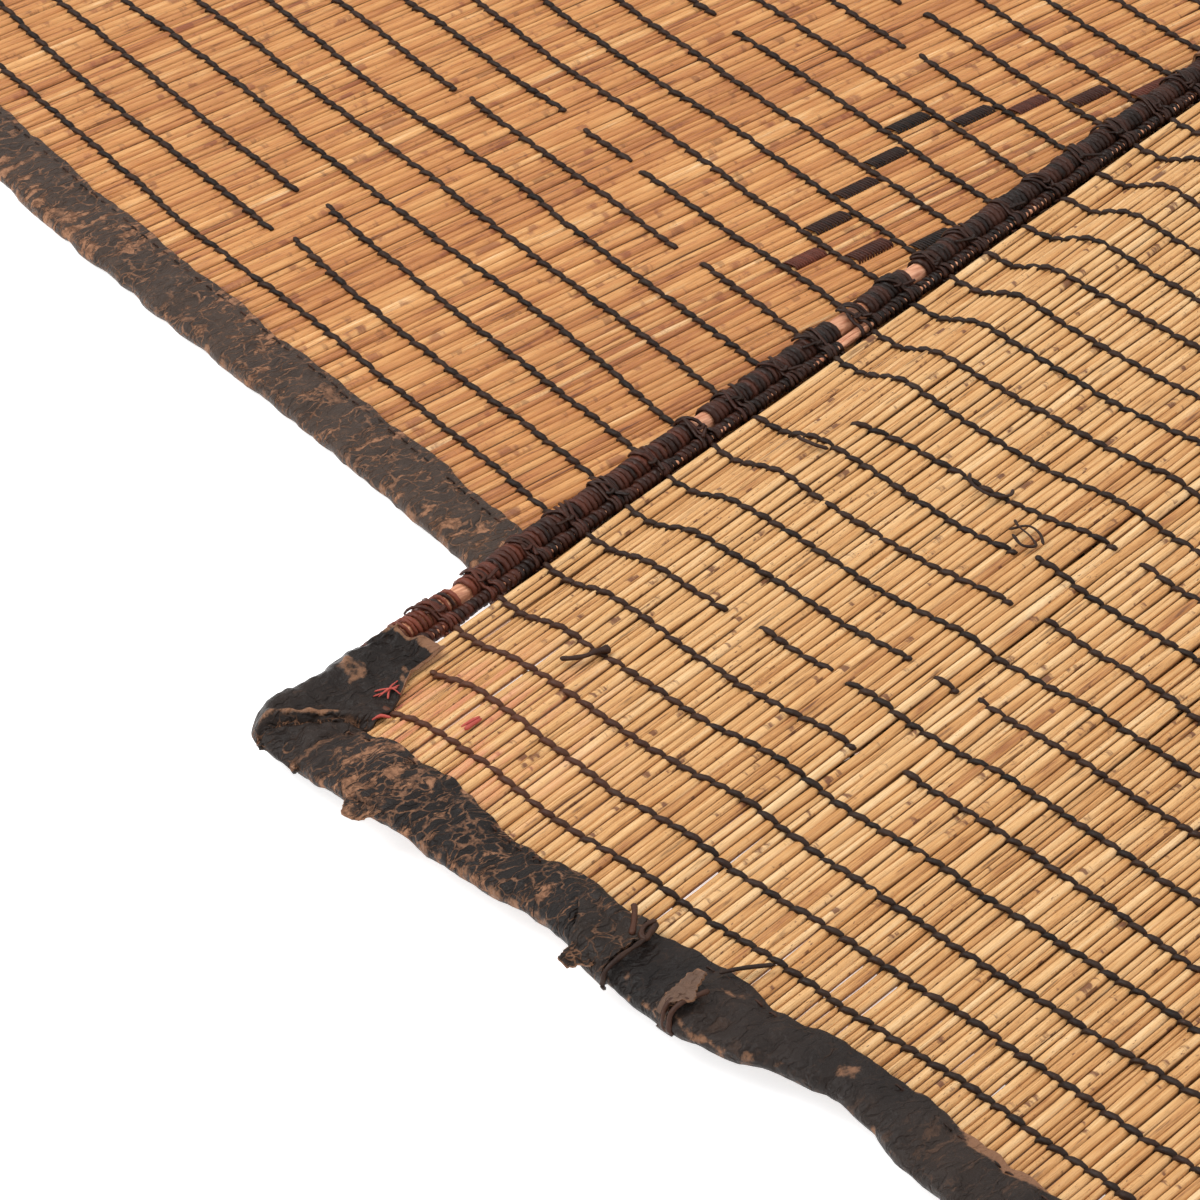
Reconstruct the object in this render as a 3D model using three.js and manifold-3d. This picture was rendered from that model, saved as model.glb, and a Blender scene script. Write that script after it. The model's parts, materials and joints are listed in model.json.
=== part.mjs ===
// Tuareg reed and leather mat, folded back over itself, in millimetres with +Z up.
// The reeds run across the mat, nearly along X, and the lacing rows run along it, nearly along Y.
// The mat starts at its far end, lies flat, turns up and over in one loose fold, and comes back as a flap
// that lies askew on the layer below, so that its capped corner stands out past the near edge.
import * as THREE from 'three';
import Module from 'manifold-3d';

const wasm = await Module();
wasm.setup();

// Driving sizes of the mat
const MAT_WIDTH = 646;
const REED_HALF = 1.7;
const GAP = 0.3;

// Lacing rows, raised as low ribs on both faces of the reeds
const ROW_COUNT = 24;
const ROW_MARGIN = 42;
const ROW_DRIFT = 2.5;
const RIB_HALF_WIDTH = 1.3;
const RIB_HEIGHT = 2.8;

// Leather binding along each long side
const BINDING_HALF = 3.5;
const BINDING_SLOT_EASE = 0.4;
const BINDING_SLOT = REED_HALF + BINDING_SLOT_EASE;
const BINDING_BACK = 4.4;
const REED_INSET = 6.2;
const SEAM = 26.5;

// Half thickness of the binding, at distances in from its folded edge and back from its cut edge
const BINDING_NOSE = [
  { inward: 0, half: 1 },
  { inward: 1, half: 2.6 },
  { inward: 4, half: BINDING_HALF },
];
const BINDING_RIM = [
  { back: 2.5, half: BINDING_HALF },
  { back: 0, half: 3.2 },
];

// Wrapped rod and thinner wrapped bundle at each end
const ROD_RADIUS = 4.5;
const BUNDLE_RADIUS = 3.2;
const THONG = 1.1;
const ROD_SPACING = 0.4;
const ROD_SIDES = 12;
const ROD_END_INSET = 4;
const WRAP_EASE = 0.4;
const BUNDLE_OUT = GAP + BUNDLE_RADIUS;
const ROD_OUT = BUNDLE_OUT + BUNDLE_RADIUS + ROD_SPACING + ROD_RADIUS;

// Leather cap over each corner
const CAP_LENGTH = 74;
const CAP_LEATHER = 1.3;
const CAP_PLAY = 0.35;
const CAP_END_PLAY = 1.2;
const CAP_OPENING = 5;
const CAP_CLEARANCE = 0.6;
const CAP_THINNED = 0.2;

// Fullness of a cap's leather along the rod, from its rounded corner to its open end
const CAP_FULLNESS = [
  { across: -1.2, lift: 0.45, pull: 4 },
  { across: 1.5, lift: 0.86, pull: 1.2 },
  { across: 8, lift: 1, pull: 0 },
  { across: 40, lift: 1, pull: 0 },
  { across: CAP_LENGTH, lift: 1, pull: 0 },
];

// Leather strips bent over the binding
const STRIP_EASE = 0.5;
const STRIP_NOSE = 0.6;
const STRIP_DROP = 1.2;
const STRIP_FLAT_END = 8;
const STRIP_PAST_SEAM = 0.5;
const STRIP_MIN_FLAT = 2;

// How a strip rounds the binding's edge: distance in from it, part of the nose's bulge, part of the lift
const STRIP_ROUNDING = [
  { inward: 3, bulge: 0, rise: 1 },
  { inward: 1, bulge: 1, rise: 0.7 },
  { inward: 0, bulge: 1, rise: 0.3 },
];

// How the mat lies, a row for each place along it, from the far end round the fold to the end of the flap.
// x and y: the near edge seen from above. near, far: heights of the two long edges. turn: degrees the reeds
// are turned. edge: how far the near edge is drawn in. seam: from the near edge to the binding's inner edge.
const LIE = [
  { place: 'far end', x: -255.1, y: 513.3, near: 5.9, far: 5.9, turn: 1, edge: 0, seam: 26.5 },
  { place: 'far cap', x: -255.5, y: 501.3, near: 5.4, far: 5.4, turn: 1.05, edge: 0, seam: 26.5 },
  { place: 'far rise', x: -256.4, y: 477.8, near: 4.2, far: 4.2, turn: 1.2, edge: 0, seam: 26.5 },
  { place: 'layer', x: -257.6, y: 444.8, near: 3.5, far: 3.5, turn: 1.5, edge: 0, seam: 26.5 },
  { place: 'layer', x: -264.5, y: 262.8, near: 3.5, far: 3.5, turn: 2.4, edge: -1.5, seam: 25.5 },
  { place: 'layer', x: -266.4, y: 104.8, near: 3.5, far: 3.5, turn: 2.9, edge: 0.5, seam: 26.5 },
  { place: 'under rod', x: -268.9, y: 9.8, near: 3.5, far: 3.5, turn: 3.4, edge: 0.5, seam: 26 },
  { place: 'hidden', x: -274.2, y: -111.2, near: 3.5, far: 3.5, turn: 3.9, edge: 0, seam: 26.5 },
  { place: 'hidden', x: -291.2, y: -261.2, near: 3.5, far: 3.5, turn: 4.5, edge: 0, seam: 26.5 },
  { place: 'hidden', x: -310.2, y: -421.2, near: 3.5, far: 3.5, turn: 5.3, edge: 0, seam: 26.5 },
  { place: 'fold foot', x: -319.2, y: -501.2, near: 3.9, far: 3.9, turn: 6, edge: 0, seam: 26.5 },
  { place: 'fold low', x: -323.2, y: -528.2, near: 9, far: 9, turn: 6.3, edge: 0, seam: 26.5 },
  { place: 'fold', x: -327.2, y: -539.2, near: 19, far: 19, turn: 6.6, edge: 0, seam: 26.5 },
  { place: 'fold high', x: -331.2, y: -527.2, near: 29, far: 29, turn: 6.9, edge: 0, seam: 26.5 },
  { place: 'fold crown', x: -334.7, y: -501.2, near: 31.5, far: 32, turn: 7.3, edge: 0, seam: 26.5 },
  { place: 'fold heel', x: -340.2, y: -456.2, near: 25.5, far: 28, turn: 8.2, edge: 0, seam: 26.5 },
  { place: 'flap', x: -351.2, y: -401.2, near: 16.5, far: 20, turn: 9.5, edge: 0, seam: 24.5 },
  { place: 'flap', x: -356.9, y: -337.5, near: 12.4, far: 17.5, turn: 10, edge: 2, seam: 26.5 },
  { place: 'flap', x: -361.1, y: -295.6, near: 13.2, far: 18, turn: 10.2, edge: 9, seam: 29 },
  { place: 'flap', x: -363.4, y: -275.2, near: 13.3, far: 18.8, turn: 10.3, edge: 7, seam: 28 },
  { place: 'flap', x: -365.8, y: -255.2, near: 14, far: 20.5, turn: 10.4, edge: 0, seam: 24.5 },
  { place: 'tie', x: -368.3, y: -237.2, near: 14.6, far: 21.5, turn: 10.5, edge: -4.5, seam: 26 },
  { place: 'flap', x: -370.1, y: -218.2, near: 12.8, far: 19, turn: 10.6, edge: -4.5, seam: 26 },
  { place: 'patch', x: -372.5, y: -199.2, near: 13, far: 20.5, turn: 10.7, edge: -2.5, seam: 22 },
  { place: 'hump', x: -374.9, y: -179.2, near: 16, far: 23.5, turn: 10.8, edge: 0, seam: 23.5 },
  { place: 'hump', x: -377.3, y: -161.7, near: 15, far: 21.5, turn: 10.9, edge: 2, seam: 25.5 },
  { place: 'flap', x: -380, y: -139.7, near: 13.5, far: 20.5, turn: 11, edge: 0.5, seam: 24.5 },
  { place: 'flap', x: -382.2, y: -117.7, near: 14, far: 20.5, turn: 11.1, edge: 0, seam: 26 },
  { place: 'hump', x: -385, y: -96.2, near: 15.5, far: 21.5, turn: 11.3, edge: -1, seam: 28 },
  { place: 'hump', x: -387.8, y: -75.2, near: 16, far: 25, turn: 11.5, edge: -2, seam: 28.5 },
  { place: 'near cap', x: -390.4, y: -52.6, near: 12.4, far: 13.9, turn: 11.85, edge: 0, seam: 26.5 },
  { place: 'flap end', x: -390.8, y: -39.6, near: 11.9, far: 13.6, turn: 12.1, edge: 0, seam: 26.5 },
];

// Leather wound on the rods, in lengths along the reeds, with bare wood left between them
const FLAP_ROD_WRAPS = [
  { from: 40, to: 102 },
  { from: 108, to: 236 },
  { from: 246, to: 322 },
  { from: 341, to: 368 },
  { from: 377, to: 606 },
];
const FLAP_BUNDLE_WRAPS = [
  { from: 40, to: 318 },
  { from: 337, to: 606 },
];
const FAR_WRAPS = [{ from: 40, to: 606 }];

// Pieces put round the flap's binding, as distances back from the flap's end. show and hide: how far each
// reaches in from the edge on the side that shows and on the side below
const PATCH = { from: 143, to: 165, leather: 1.5, show: 30, hide: 27 };
const TIE = { from: 193, to: 197.5, leather: 1.2, show: 49, hide: 27 };
const TIE_TAIL = { from: 197.8, to: 204.5, leather: 1.2 };
const TIE_TAIL_RISE = [
  { across: 14, lift: 3.9 },
  { across: 24, lift: 4.2 },
  { across: 32, lift: 4.4 },
  { across: 38, lift: 3.4 },
];

const leather = (color, roughness) => new THREE.MeshStandardMaterial({ color, roughness, metalness: 0 });
const REED_STRAW = new THREE.MeshStandardMaterial({ color: 0xc99650, roughness: 0.55, metalness: 0 });
const BINDING_LEATHER = leather(0x2c211b, 0.7);
const CAP_BLACK = leather(0x241b17, 0.65);
const WOUND_LEATHER = leather(0x33201a, 0.6);
const PATCH_LEATHER = leather(0x3a2a20, 0.75);
const TIE_LEATHER = leather(0x7a5b45, 0.8);
const ROD_WOOD = new THREE.MeshStandardMaterial({ color: 0xc58a5e, roughness: 0.6, metalness: 0 });

// A closed body lofted through rings of equal point counts, its two end faces cut to the flat section given
function loft(rings, section) {
  const count = rings[0].length;
  const positions = rings.flat().flatMap((point) => [point.x, point.y, point.z]);
  const faces = [];
  for (let ring = 0; ring < rings.length - 1; ring += 1) {
    for (let side = 0; side < count; side += 1) {
      const a = ring * count + side;
      const b = ring * count + ((side + 1) % count);
      faces.push([a, b, b + count], [a, b + count, a + count]);
    }
  }
  const last = (rings.length - 1) * count;
  const flat = section.map(([across, lift]) => new THREE.Vector2(across, lift));
  const turned = THREE.ShapeUtils.isClockWise(flat) ? -1 : 1;
  for (const [a, b, c] of THREE.ShapeUtils.triangulateShape(flat, [])) {
    faces.push(turned > 0 ? [c, b, a] : [a, b, c]);
    faces.push(turned > 0 ? [last + a, last + b, last + c] : [last + c, last + b, last + a]);
  }
  const corner = (index) => new THREE.Vector3().fromArray(positions, index * 3);
  const volume = faces.reduce((sum, [a, b, c]) => sum + corner(a).dot(corner(b).cross(corner(c))), 0);
  const outward = volume < 0 ? faces.map(([a, b, c]) => [c, b, a]) : faces;
  const geometry = new THREE.BufferGeometry();
  geometry.setAttribute('position', new THREE.Float32BufferAttribute(positions, 3));
  geometry.setIndex(outward.flat());
  return geometry;
}

// The solid that is left of one closed geometry when another is cut away
function cut(geometry, tool) {
  const solid = (shape) =>
    new wasm.Manifold(
      new wasm.Mesh({
        numProp: 3,
        vertProperties: new Float32Array(shape.attributes.position.array),
        triVerts: new Uint32Array(shape.index.array),
      }),
    );
  const result = solid(geometry).subtract(solid(tool)).getMesh();
  const left = new THREE.BufferGeometry();
  left.setAttribute('position', new THREE.Float32BufferAttribute(result.vertProperties, 3));
  left.setIndex(Array.from(result.triVerts));
  return left;
}

// The lie of the mat as stations, each a straight reed line from the near edge to the far edge
function layStations() {
  const farPoint = (row) => {
    const run = Math.sqrt(MAT_WIDTH ** 2 - (row.far - row.near) ** 2);
    const turn = THREE.MathUtils.degToRad(row.turn);
    return new THREE.Vector3(row.x + run * Math.cos(turn), row.y + run * Math.sin(turn), row.far);
  };
  const stations = LIE.map((row) => {
    const near = new THREE.Vector3(row.x, row.y, row.near);
    const far = farPoint(row);
    const reed = far.clone().sub(near).normalize();
    return { near, far, reed, width: far.distanceTo(near), edge: row.edge, seam: row.seam };
  });
  const last = stations.length - 1;
  stations.forEach((station, index) => {
    // The stretch under a cap is straight, so its two stations face the same way
    const underCap = index <= 1 || index >= last - 1;
    const start = index <= 1 ? 0 : last - 1;
    const before = stations[underCap ? start : index - 1];
    const after = stations[underCap ? start + 1 : index + 1];
    const face = (side) => after[side].clone().sub(before[side]).cross(station.reed).normalize();
    station.nearFace = face('near');
    station.farFace = face('far');
  });
  return stations;
}
const stations = layStations();

// The point at a station that lies so far across the mat and is lifted so far off the reeds' middle plane
function stationPoint(station, across, lift) {
  const face = station.nearFace.clone().lerp(station.farFace, across / station.width).normalize();
  return station.near.clone().addScaledVector(station.reed, across).addScaledVector(face, lift);
}

// The same point between two stations, for a place given as a station number with a fraction
function matPoint(place, across, lift) {
  const index = Math.min(Math.floor(place), stations.length - 2);
  const from = stationPoint(stations[index], across, lift);
  return from.lerp(stationPoint(stations[index + 1], across, lift), place - index);
}

// How far the edge is drawn in, and where the seam lies, at such a place
function trimAt(place) {
  const index = Math.min(Math.floor(place), stations.length - 2);
  const [from, to] = [stations[index], stations[index + 1]];
  const part = place - index;
  return {
    edge: THREE.MathUtils.lerp(from.edge, to.edge, part),
    seam: THREE.MathUtils.lerp(from.seam, to.seam, part),
  };
}

// The station number at a distance back from the flap's end, measured along the near edge
function placeFromFlapEnd(distance) {
  let left = distance;
  for (let index = stations.length - 1; index > 0; index -= 1) {
    const step = stations[index].near.distanceTo(stations[index - 1].near);
    if (step >= left) {
      return index - left / step;
    }
    left -= step;
  }
  return 0;
}

// Where each lacing row crosses the mat; the middle rows stand a little nearer the near edge
function rowPlaces() {
  const pitch = (MAT_WIDTH - 2 * ROW_MARGIN) / (ROW_COUNT - 1);
  return Array.from({ length: ROW_COUNT }, (_, row) => {
    const drift = ROW_DRIFT * Math.sin((Math.PI * row) / (ROW_COUNT - 1));
    return ROW_MARGIN + pitch * row - drift;
  });
}

// The reeds laced into one sheet, with every lacing row as a rib on both of its faces
function reedField() {
  const upper = (station) => {
    const points = [
      [REED_INSET + station.edge, REED_HALF],
      [station.seam, REED_HALF],
    ];
    for (const row of rowPlaces()) {
      points.push([row - RIB_HALF_WIDTH, REED_HALF], [row, RIB_HEIGHT], [row + RIB_HALF_WIDTH, REED_HALF]);
    }
    points.push([station.width - SEAM, REED_HALF], [station.width - REED_INSET, REED_HALF]);
    return points;
  };
  const outline = (station) => {
    const top = upper(station);
    return [...top, ...top.map(([across, lift]) => [across, -lift]).reverse()];
  };
  const rings = stations.map((station) =>
    outline(station).map(([across, lift]) => stationPoint(station, across, lift)),
  );
  return loft(rings, outline(stations[0]));
}

// Section of the binding, folded over the reed ends, as distances in from the edge and off the reeds' plane
function bindingSection(edge, seam) {
  const back = BINDING_BACK + edge;
  const underside = [
    ...BINDING_NOSE.map(({ inward, half }) => [edge + inward, -half]),
    ...BINDING_RIM.map(({ back: inset, half }) => [seam - inset, -half]),
  ];
  const upperside = underside.map(([inward, lift]) => [inward, -lift]).reverse();
  return [
    ...upperside,
    ...underside,
    [seam, -BINDING_SLOT],
    [back, -BINDING_SLOT],
    [back, BINDING_SLOT],
    [seam, BINDING_SLOT],
  ];
}

// The binding along one long side, from one corner cap round the fold to the other
function sideBinding(isFar) {
  const covered = stations.slice(1, -1);
  const section = (station) => (isFar ? bindingSection(0, SEAM) : bindingSection(station.edge, station.seam));
  const rings = covered.map((station) =>
    section(station).map(([inward, lift]) =>
      stationPoint(station, isFar ? station.width - inward : inward, lift),
    ),
  );
  return loft(rings, section(covered[0]));
}

// Directions at one corner: inward along the reeds, outward past the reeds' end, and off their plane
function cornerFrame(isFlap, isFar) {
  const [end, inner] = isFlap ? [stations.at(-1), stations.at(-2)] : [stations[0], stations[1]];
  const side = isFar ? 'far' : 'near';
  const outward = end[side].clone().sub(inner[side]);
  const mouth = outward.length() - CAP_CLEARANCE;
  outward.normalize();
  const inward = end.reed.clone().multiplyScalar(isFar ? -1 : 1);
  const face = outward.clone().cross(inward).normalize();
  const at = (across, out, lift) =>
    end[side].clone().addScaledVector(inward, across).addScaledVector(outward, out).addScaledVector(face, lift);
  return { at, mouth };
}

// The line of a rod or bundle, between the corners it runs to
function rodLine(isFlap, out) {
  return { from: cornerFrame(isFlap, false).at(0, out, 0), to: cornerFrame(isFlap, true).at(0, out, 0) };
}

// A round body along +Y, turned and moved to start at one point and run towards another
function alongLine(geometry, { from, to }) {
  const direction = to.clone().sub(from).normalize();
  const turn = new THREE.Quaternion().setFromUnitVectors(new THREE.Vector3(0, 1, 0), direction);
  return geometry.applyQuaternion(turn).translate(from.x, from.y, from.z);
}

// The bare rod or bundle inside its leather
function rodCore(line, radius) {
  const length = line.from.distanceTo(line.to) - 2 * ROD_END_INSET;
  const bar = new THREE.CylinderGeometry(radius, radius, length, ROD_SIDES);
  return alongLine(bar.translate(0, ROD_END_INSET + length / 2, 0), line);
}

// One length of leather thong wound round a rod, its two ends eased
function rodWrap(line, radius, wrap) {
  const inner = radius - THONG;
  const profile = [
    [inner, wrap.from],
    [radius - WRAP_EASE, wrap.from],
    [radius, wrap.from + 1],
    [radius, wrap.to - 1],
    [radius - WRAP_EASE, wrap.to],
    [inner, wrap.to],
    [inner, wrap.from],
  ].map(([out, along]) => new THREE.Vector2(out, along));
  return alongLine(new THREE.LatheGeometry(profile, ROD_SIDES), line);
}

const mirrored = (half) => [...half, ...half.map(([place, lift]) => [place, -lift]).reverse()];

// A corner cap: a leather pocket over the ends of the rod, the bundle and the first reeds
function cornerCap(isFlap, isFar) {
  const { at, mouth } = cornerFrame(isFlap, isFar);
  const rodHalf = ROD_RADIUS + CAP_PLAY;
  const rodFace = ROD_OUT + rodHalf;
  const bundleHalf = BUNDLE_RADIUS + CAP_PLAY;
  const bundleFace = BUNDLE_OUT + BUNDLE_RADIUS;
  const reedHalf = RIB_HEIGHT + GAP;
  const outerSection = mirrored([
    [-mouth, reedHalf + CAP_LEATHER - CAP_THINNED],
    [-mouth / 2, reedHalf + CAP_LEATHER],
    [0, bundleHalf + CAP_LEATHER],
    [bundleFace, rodHalf + CAP_LEATHER],
    [ROD_OUT + 2, rodHalf + CAP_LEATHER],
    [rodFace + CAP_LEATHER, rodHalf / 2],
  ]);
  const innerSection = mirrored([
    [-mouth - CAP_OPENING, reedHalf],
    [0, reedHalf],
    [0.1, bundleHalf],
    [bundleFace, bundleHalf],
    [bundleFace + 0.1, rodHalf],
    [ROD_OUT + 2, rodHalf],
    [rodFace, rodHalf / 2],
  ]);
  const outerRings = CAP_FULLNESS.map((row) =>
    outerSection.map(([out, lift]) => at(row.across, out > 0 ? out - row.pull : out, lift * row.lift)),
  );
  const innerRings = [ROD_END_INSET - CAP_END_PLAY, CAP_LENGTH + CAP_OPENING].map((across) =>
    innerSection.map(([out, lift]) => at(across, out, lift)),
  );
  return cut(loft(outerRings, outerSection), loft(innerRings, innerSection));
}

// A leather strip bent over the flap's near binding and open towards the reeds
function bindingStrip(strip) {
  const inner = BINDING_HALF + STRIP_EASE;
  const outer = inner + strip.leather;
  // One face of the strip: its lift off the reeds' plane, and how far it bulges past the binding's edge
  const faceOfStrip = ({ edge, seam }, lift, nose) => {
    const hiddenHalf = STRIP_ROUNDING.map(({ inward, bulge, rise }) => [
      edge + inward - bulge * nose,
      lift * rise,
    ]);
    const shownHalf = hiddenHalf.map(([inward, height]) => [inward, -height]).reverse();
    return [
      [strip.hide, lift - STRIP_DROP],
      [seam + STRIP_PAST_SEAM, lift],
      ...hiddenHalf,
      ...shownHalf,
      [seam + STRIP_PAST_SEAM, -lift],
      [Math.max(strip.show - STRIP_FLAT_END, seam + STRIP_MIN_FLAT), -lift],
      [strip.show, STRIP_DROP / 2 - lift],
    ];
  };
  const section = (trim) => [
    ...faceOfStrip(trim, outer, STRIP_NOSE + strip.leather),
    ...faceOfStrip(trim, inner, STRIP_NOSE).reverse(),
  ];
  const places = [strip.from, (strip.from + strip.to) / 2, strip.to].map(placeFromFlapEnd);
  const rings = places.map((place) =>
    section(trimAt(place)).map(([inward, lift]) => matPoint(place, inward, lift)),
  );
  return loft(rings, section(trimAt(places[0])));
}

// The flat end of the tie, lying over the binding and the first reeds on the side that shows
function tieTail() {
  const places = [TIE_TAIL.from, TIE_TAIL.to].map(placeFromFlapEnd);
  const rings = TIE_TAIL_RISE.map(({ across, lift }) => [
    matPoint(places[0], across, -lift),
    matPoint(places[1], across, -lift),
    matPoint(places[1], across, -lift - TIE_TAIL.leather),
    matPoint(places[0], across, -lift - TIE_TAIL.leather),
  ]);
  const section = [
    [0, 0],
    [1, 0],
    [1, 1],
    [0, 1],
  ];
  return loft(rings, section);
}

const mat = new THREE.Group();

function add(name, geometry, material) {
  const mesh = new THREE.Mesh(geometry, material);
  mesh.name = name;
  mat.add(mesh);
}

// The rod and the bundle at one end, each with its lengths of wound leather, and the two caps over their ends
function addEnd(name, isFlap, rodWraps, bundleWraps) {
  const pieces = [
    { part: 'rod', line: rodLine(isFlap, ROD_OUT), radius: ROD_RADIUS, wraps: rodWraps },
    { part: 'bundle', line: rodLine(isFlap, BUNDLE_OUT), radius: BUNDLE_RADIUS, wraps: bundleWraps },
  ];
  for (const { part, line, radius, wraps } of pieces) {
    add(`${name}_${part}`, rodCore(line, radius - THONG - GAP), ROD_WOOD);
    wraps.forEach((wrap, index) => {
      add(`${name}_${part}_wrap_${index + 1}`, rodWrap(line, radius, wrap), WOUND_LEATHER);
    });
  }
  add(`${name}_cap_near`, cornerCap(isFlap, false), CAP_BLACK);
  add(`${name}_cap_far`, cornerCap(isFlap, true), CAP_BLACK);
}

add('reed_field', reedField(), REED_STRAW);
add('binding_near', sideBinding(false), BINDING_LEATHER);
add('binding_far', sideBinding(true), BINDING_LEATHER);
addEnd('flap', true, FLAP_ROD_WRAPS, FLAP_BUNDLE_WRAPS);
addEnd('far', false, FAR_WRAPS, FAR_WRAPS);
add('binding_patch', bindingStrip(PATCH), PATCH_LEATHER);
add('binding_tie', bindingStrip(TIE), TIE_LEATHER);
add('tie_tail', tieTail(), TIE_LEATHER);

export default mat;
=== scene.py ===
"""A mat of laced reeds bound in leather, folded back over itself.

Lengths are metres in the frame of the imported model: X across the mat, Y along it, Z up.
"""

import json
import logging
import math
from collections.abc import Iterator
from contextlib import contextmanager
from dataclasses import dataclass, field
from enum import Enum

import bmesh
import bpy
import numpy as np
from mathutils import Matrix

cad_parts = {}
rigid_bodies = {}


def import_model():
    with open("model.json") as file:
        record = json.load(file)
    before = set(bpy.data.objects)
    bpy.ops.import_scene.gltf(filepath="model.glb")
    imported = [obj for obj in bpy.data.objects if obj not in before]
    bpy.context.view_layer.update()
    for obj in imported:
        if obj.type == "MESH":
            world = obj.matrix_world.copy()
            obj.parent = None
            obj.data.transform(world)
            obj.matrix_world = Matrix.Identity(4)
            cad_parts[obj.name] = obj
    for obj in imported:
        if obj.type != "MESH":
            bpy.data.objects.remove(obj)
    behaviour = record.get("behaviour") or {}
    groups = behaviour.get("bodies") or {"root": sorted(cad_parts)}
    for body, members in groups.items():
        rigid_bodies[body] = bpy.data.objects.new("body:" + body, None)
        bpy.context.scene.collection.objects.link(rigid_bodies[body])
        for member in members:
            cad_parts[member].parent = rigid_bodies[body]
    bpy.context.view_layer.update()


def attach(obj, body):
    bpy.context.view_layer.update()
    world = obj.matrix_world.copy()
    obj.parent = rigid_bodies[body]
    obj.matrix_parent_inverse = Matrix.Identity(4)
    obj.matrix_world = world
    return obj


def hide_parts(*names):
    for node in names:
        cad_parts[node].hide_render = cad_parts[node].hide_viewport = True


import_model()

LOG = logging.getLogger("mat")
BODY = "root"

MAT_WIDTH = 0.646
REED_HALF = 0.0017
SEAM = 0.0265
BINDING_HALF = 0.0035
ROW_COUNT = 24
ROW_MARGIN = 0.042
ROW_DRIFT = 0.0025
ROD_RADIUS = 0.0045
BUNDLE_RADIUS = 0.0032
BUNDLE_OUT = 0.0035
ROD_OUT = BUNDLE_OUT + BUNDLE_RADIUS + 0.0004 + ROD_RADIUS
THONG = 0.0011
CAP_LENGTH = 0.074
MILLIMETRES_A_METRE = 1000
FULL_TURN = 2 * math.pi
BINDING_GIRTH = 0.06
LEATHER_FLOOR = 0.0002
KNOT_FLOOR = 0.0008


class End(Enum):
    """The two ends of the mat: the flap's and the far one."""

    FLAP = 1
    FAR = 0


class Side(Enum):
    """The two long sides of the mat."""

    NEAR = 0
    FAR = 1


class Face(Enum):
    """The front of the mat, up on the lower layer, and its back, up on the flap."""

    FRONT = 1
    BACK = -1


@dataclass(frozen=True)
class LieRow:
    """One place along the mat, with its near edge, its two edge heights and the turn of its reeds."""

    place: str
    x: float
    y: float
    near: float
    far: float
    turn: float
    edge: float
    seam: float

    def ends(self, width: float) -> tuple[np.ndarray, np.ndarray]:
        """The near and the far end of a reed line of a given length that lies here."""
        run = math.sqrt(width**2 - (self.far - self.near) ** 2)
        turn = math.radians(self.turn)
        near = np.array([self.x, self.y, self.near])
        far = np.array([self.x + run * math.cos(turn), self.y + run * math.sin(turn), self.far])
        return near, far


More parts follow.
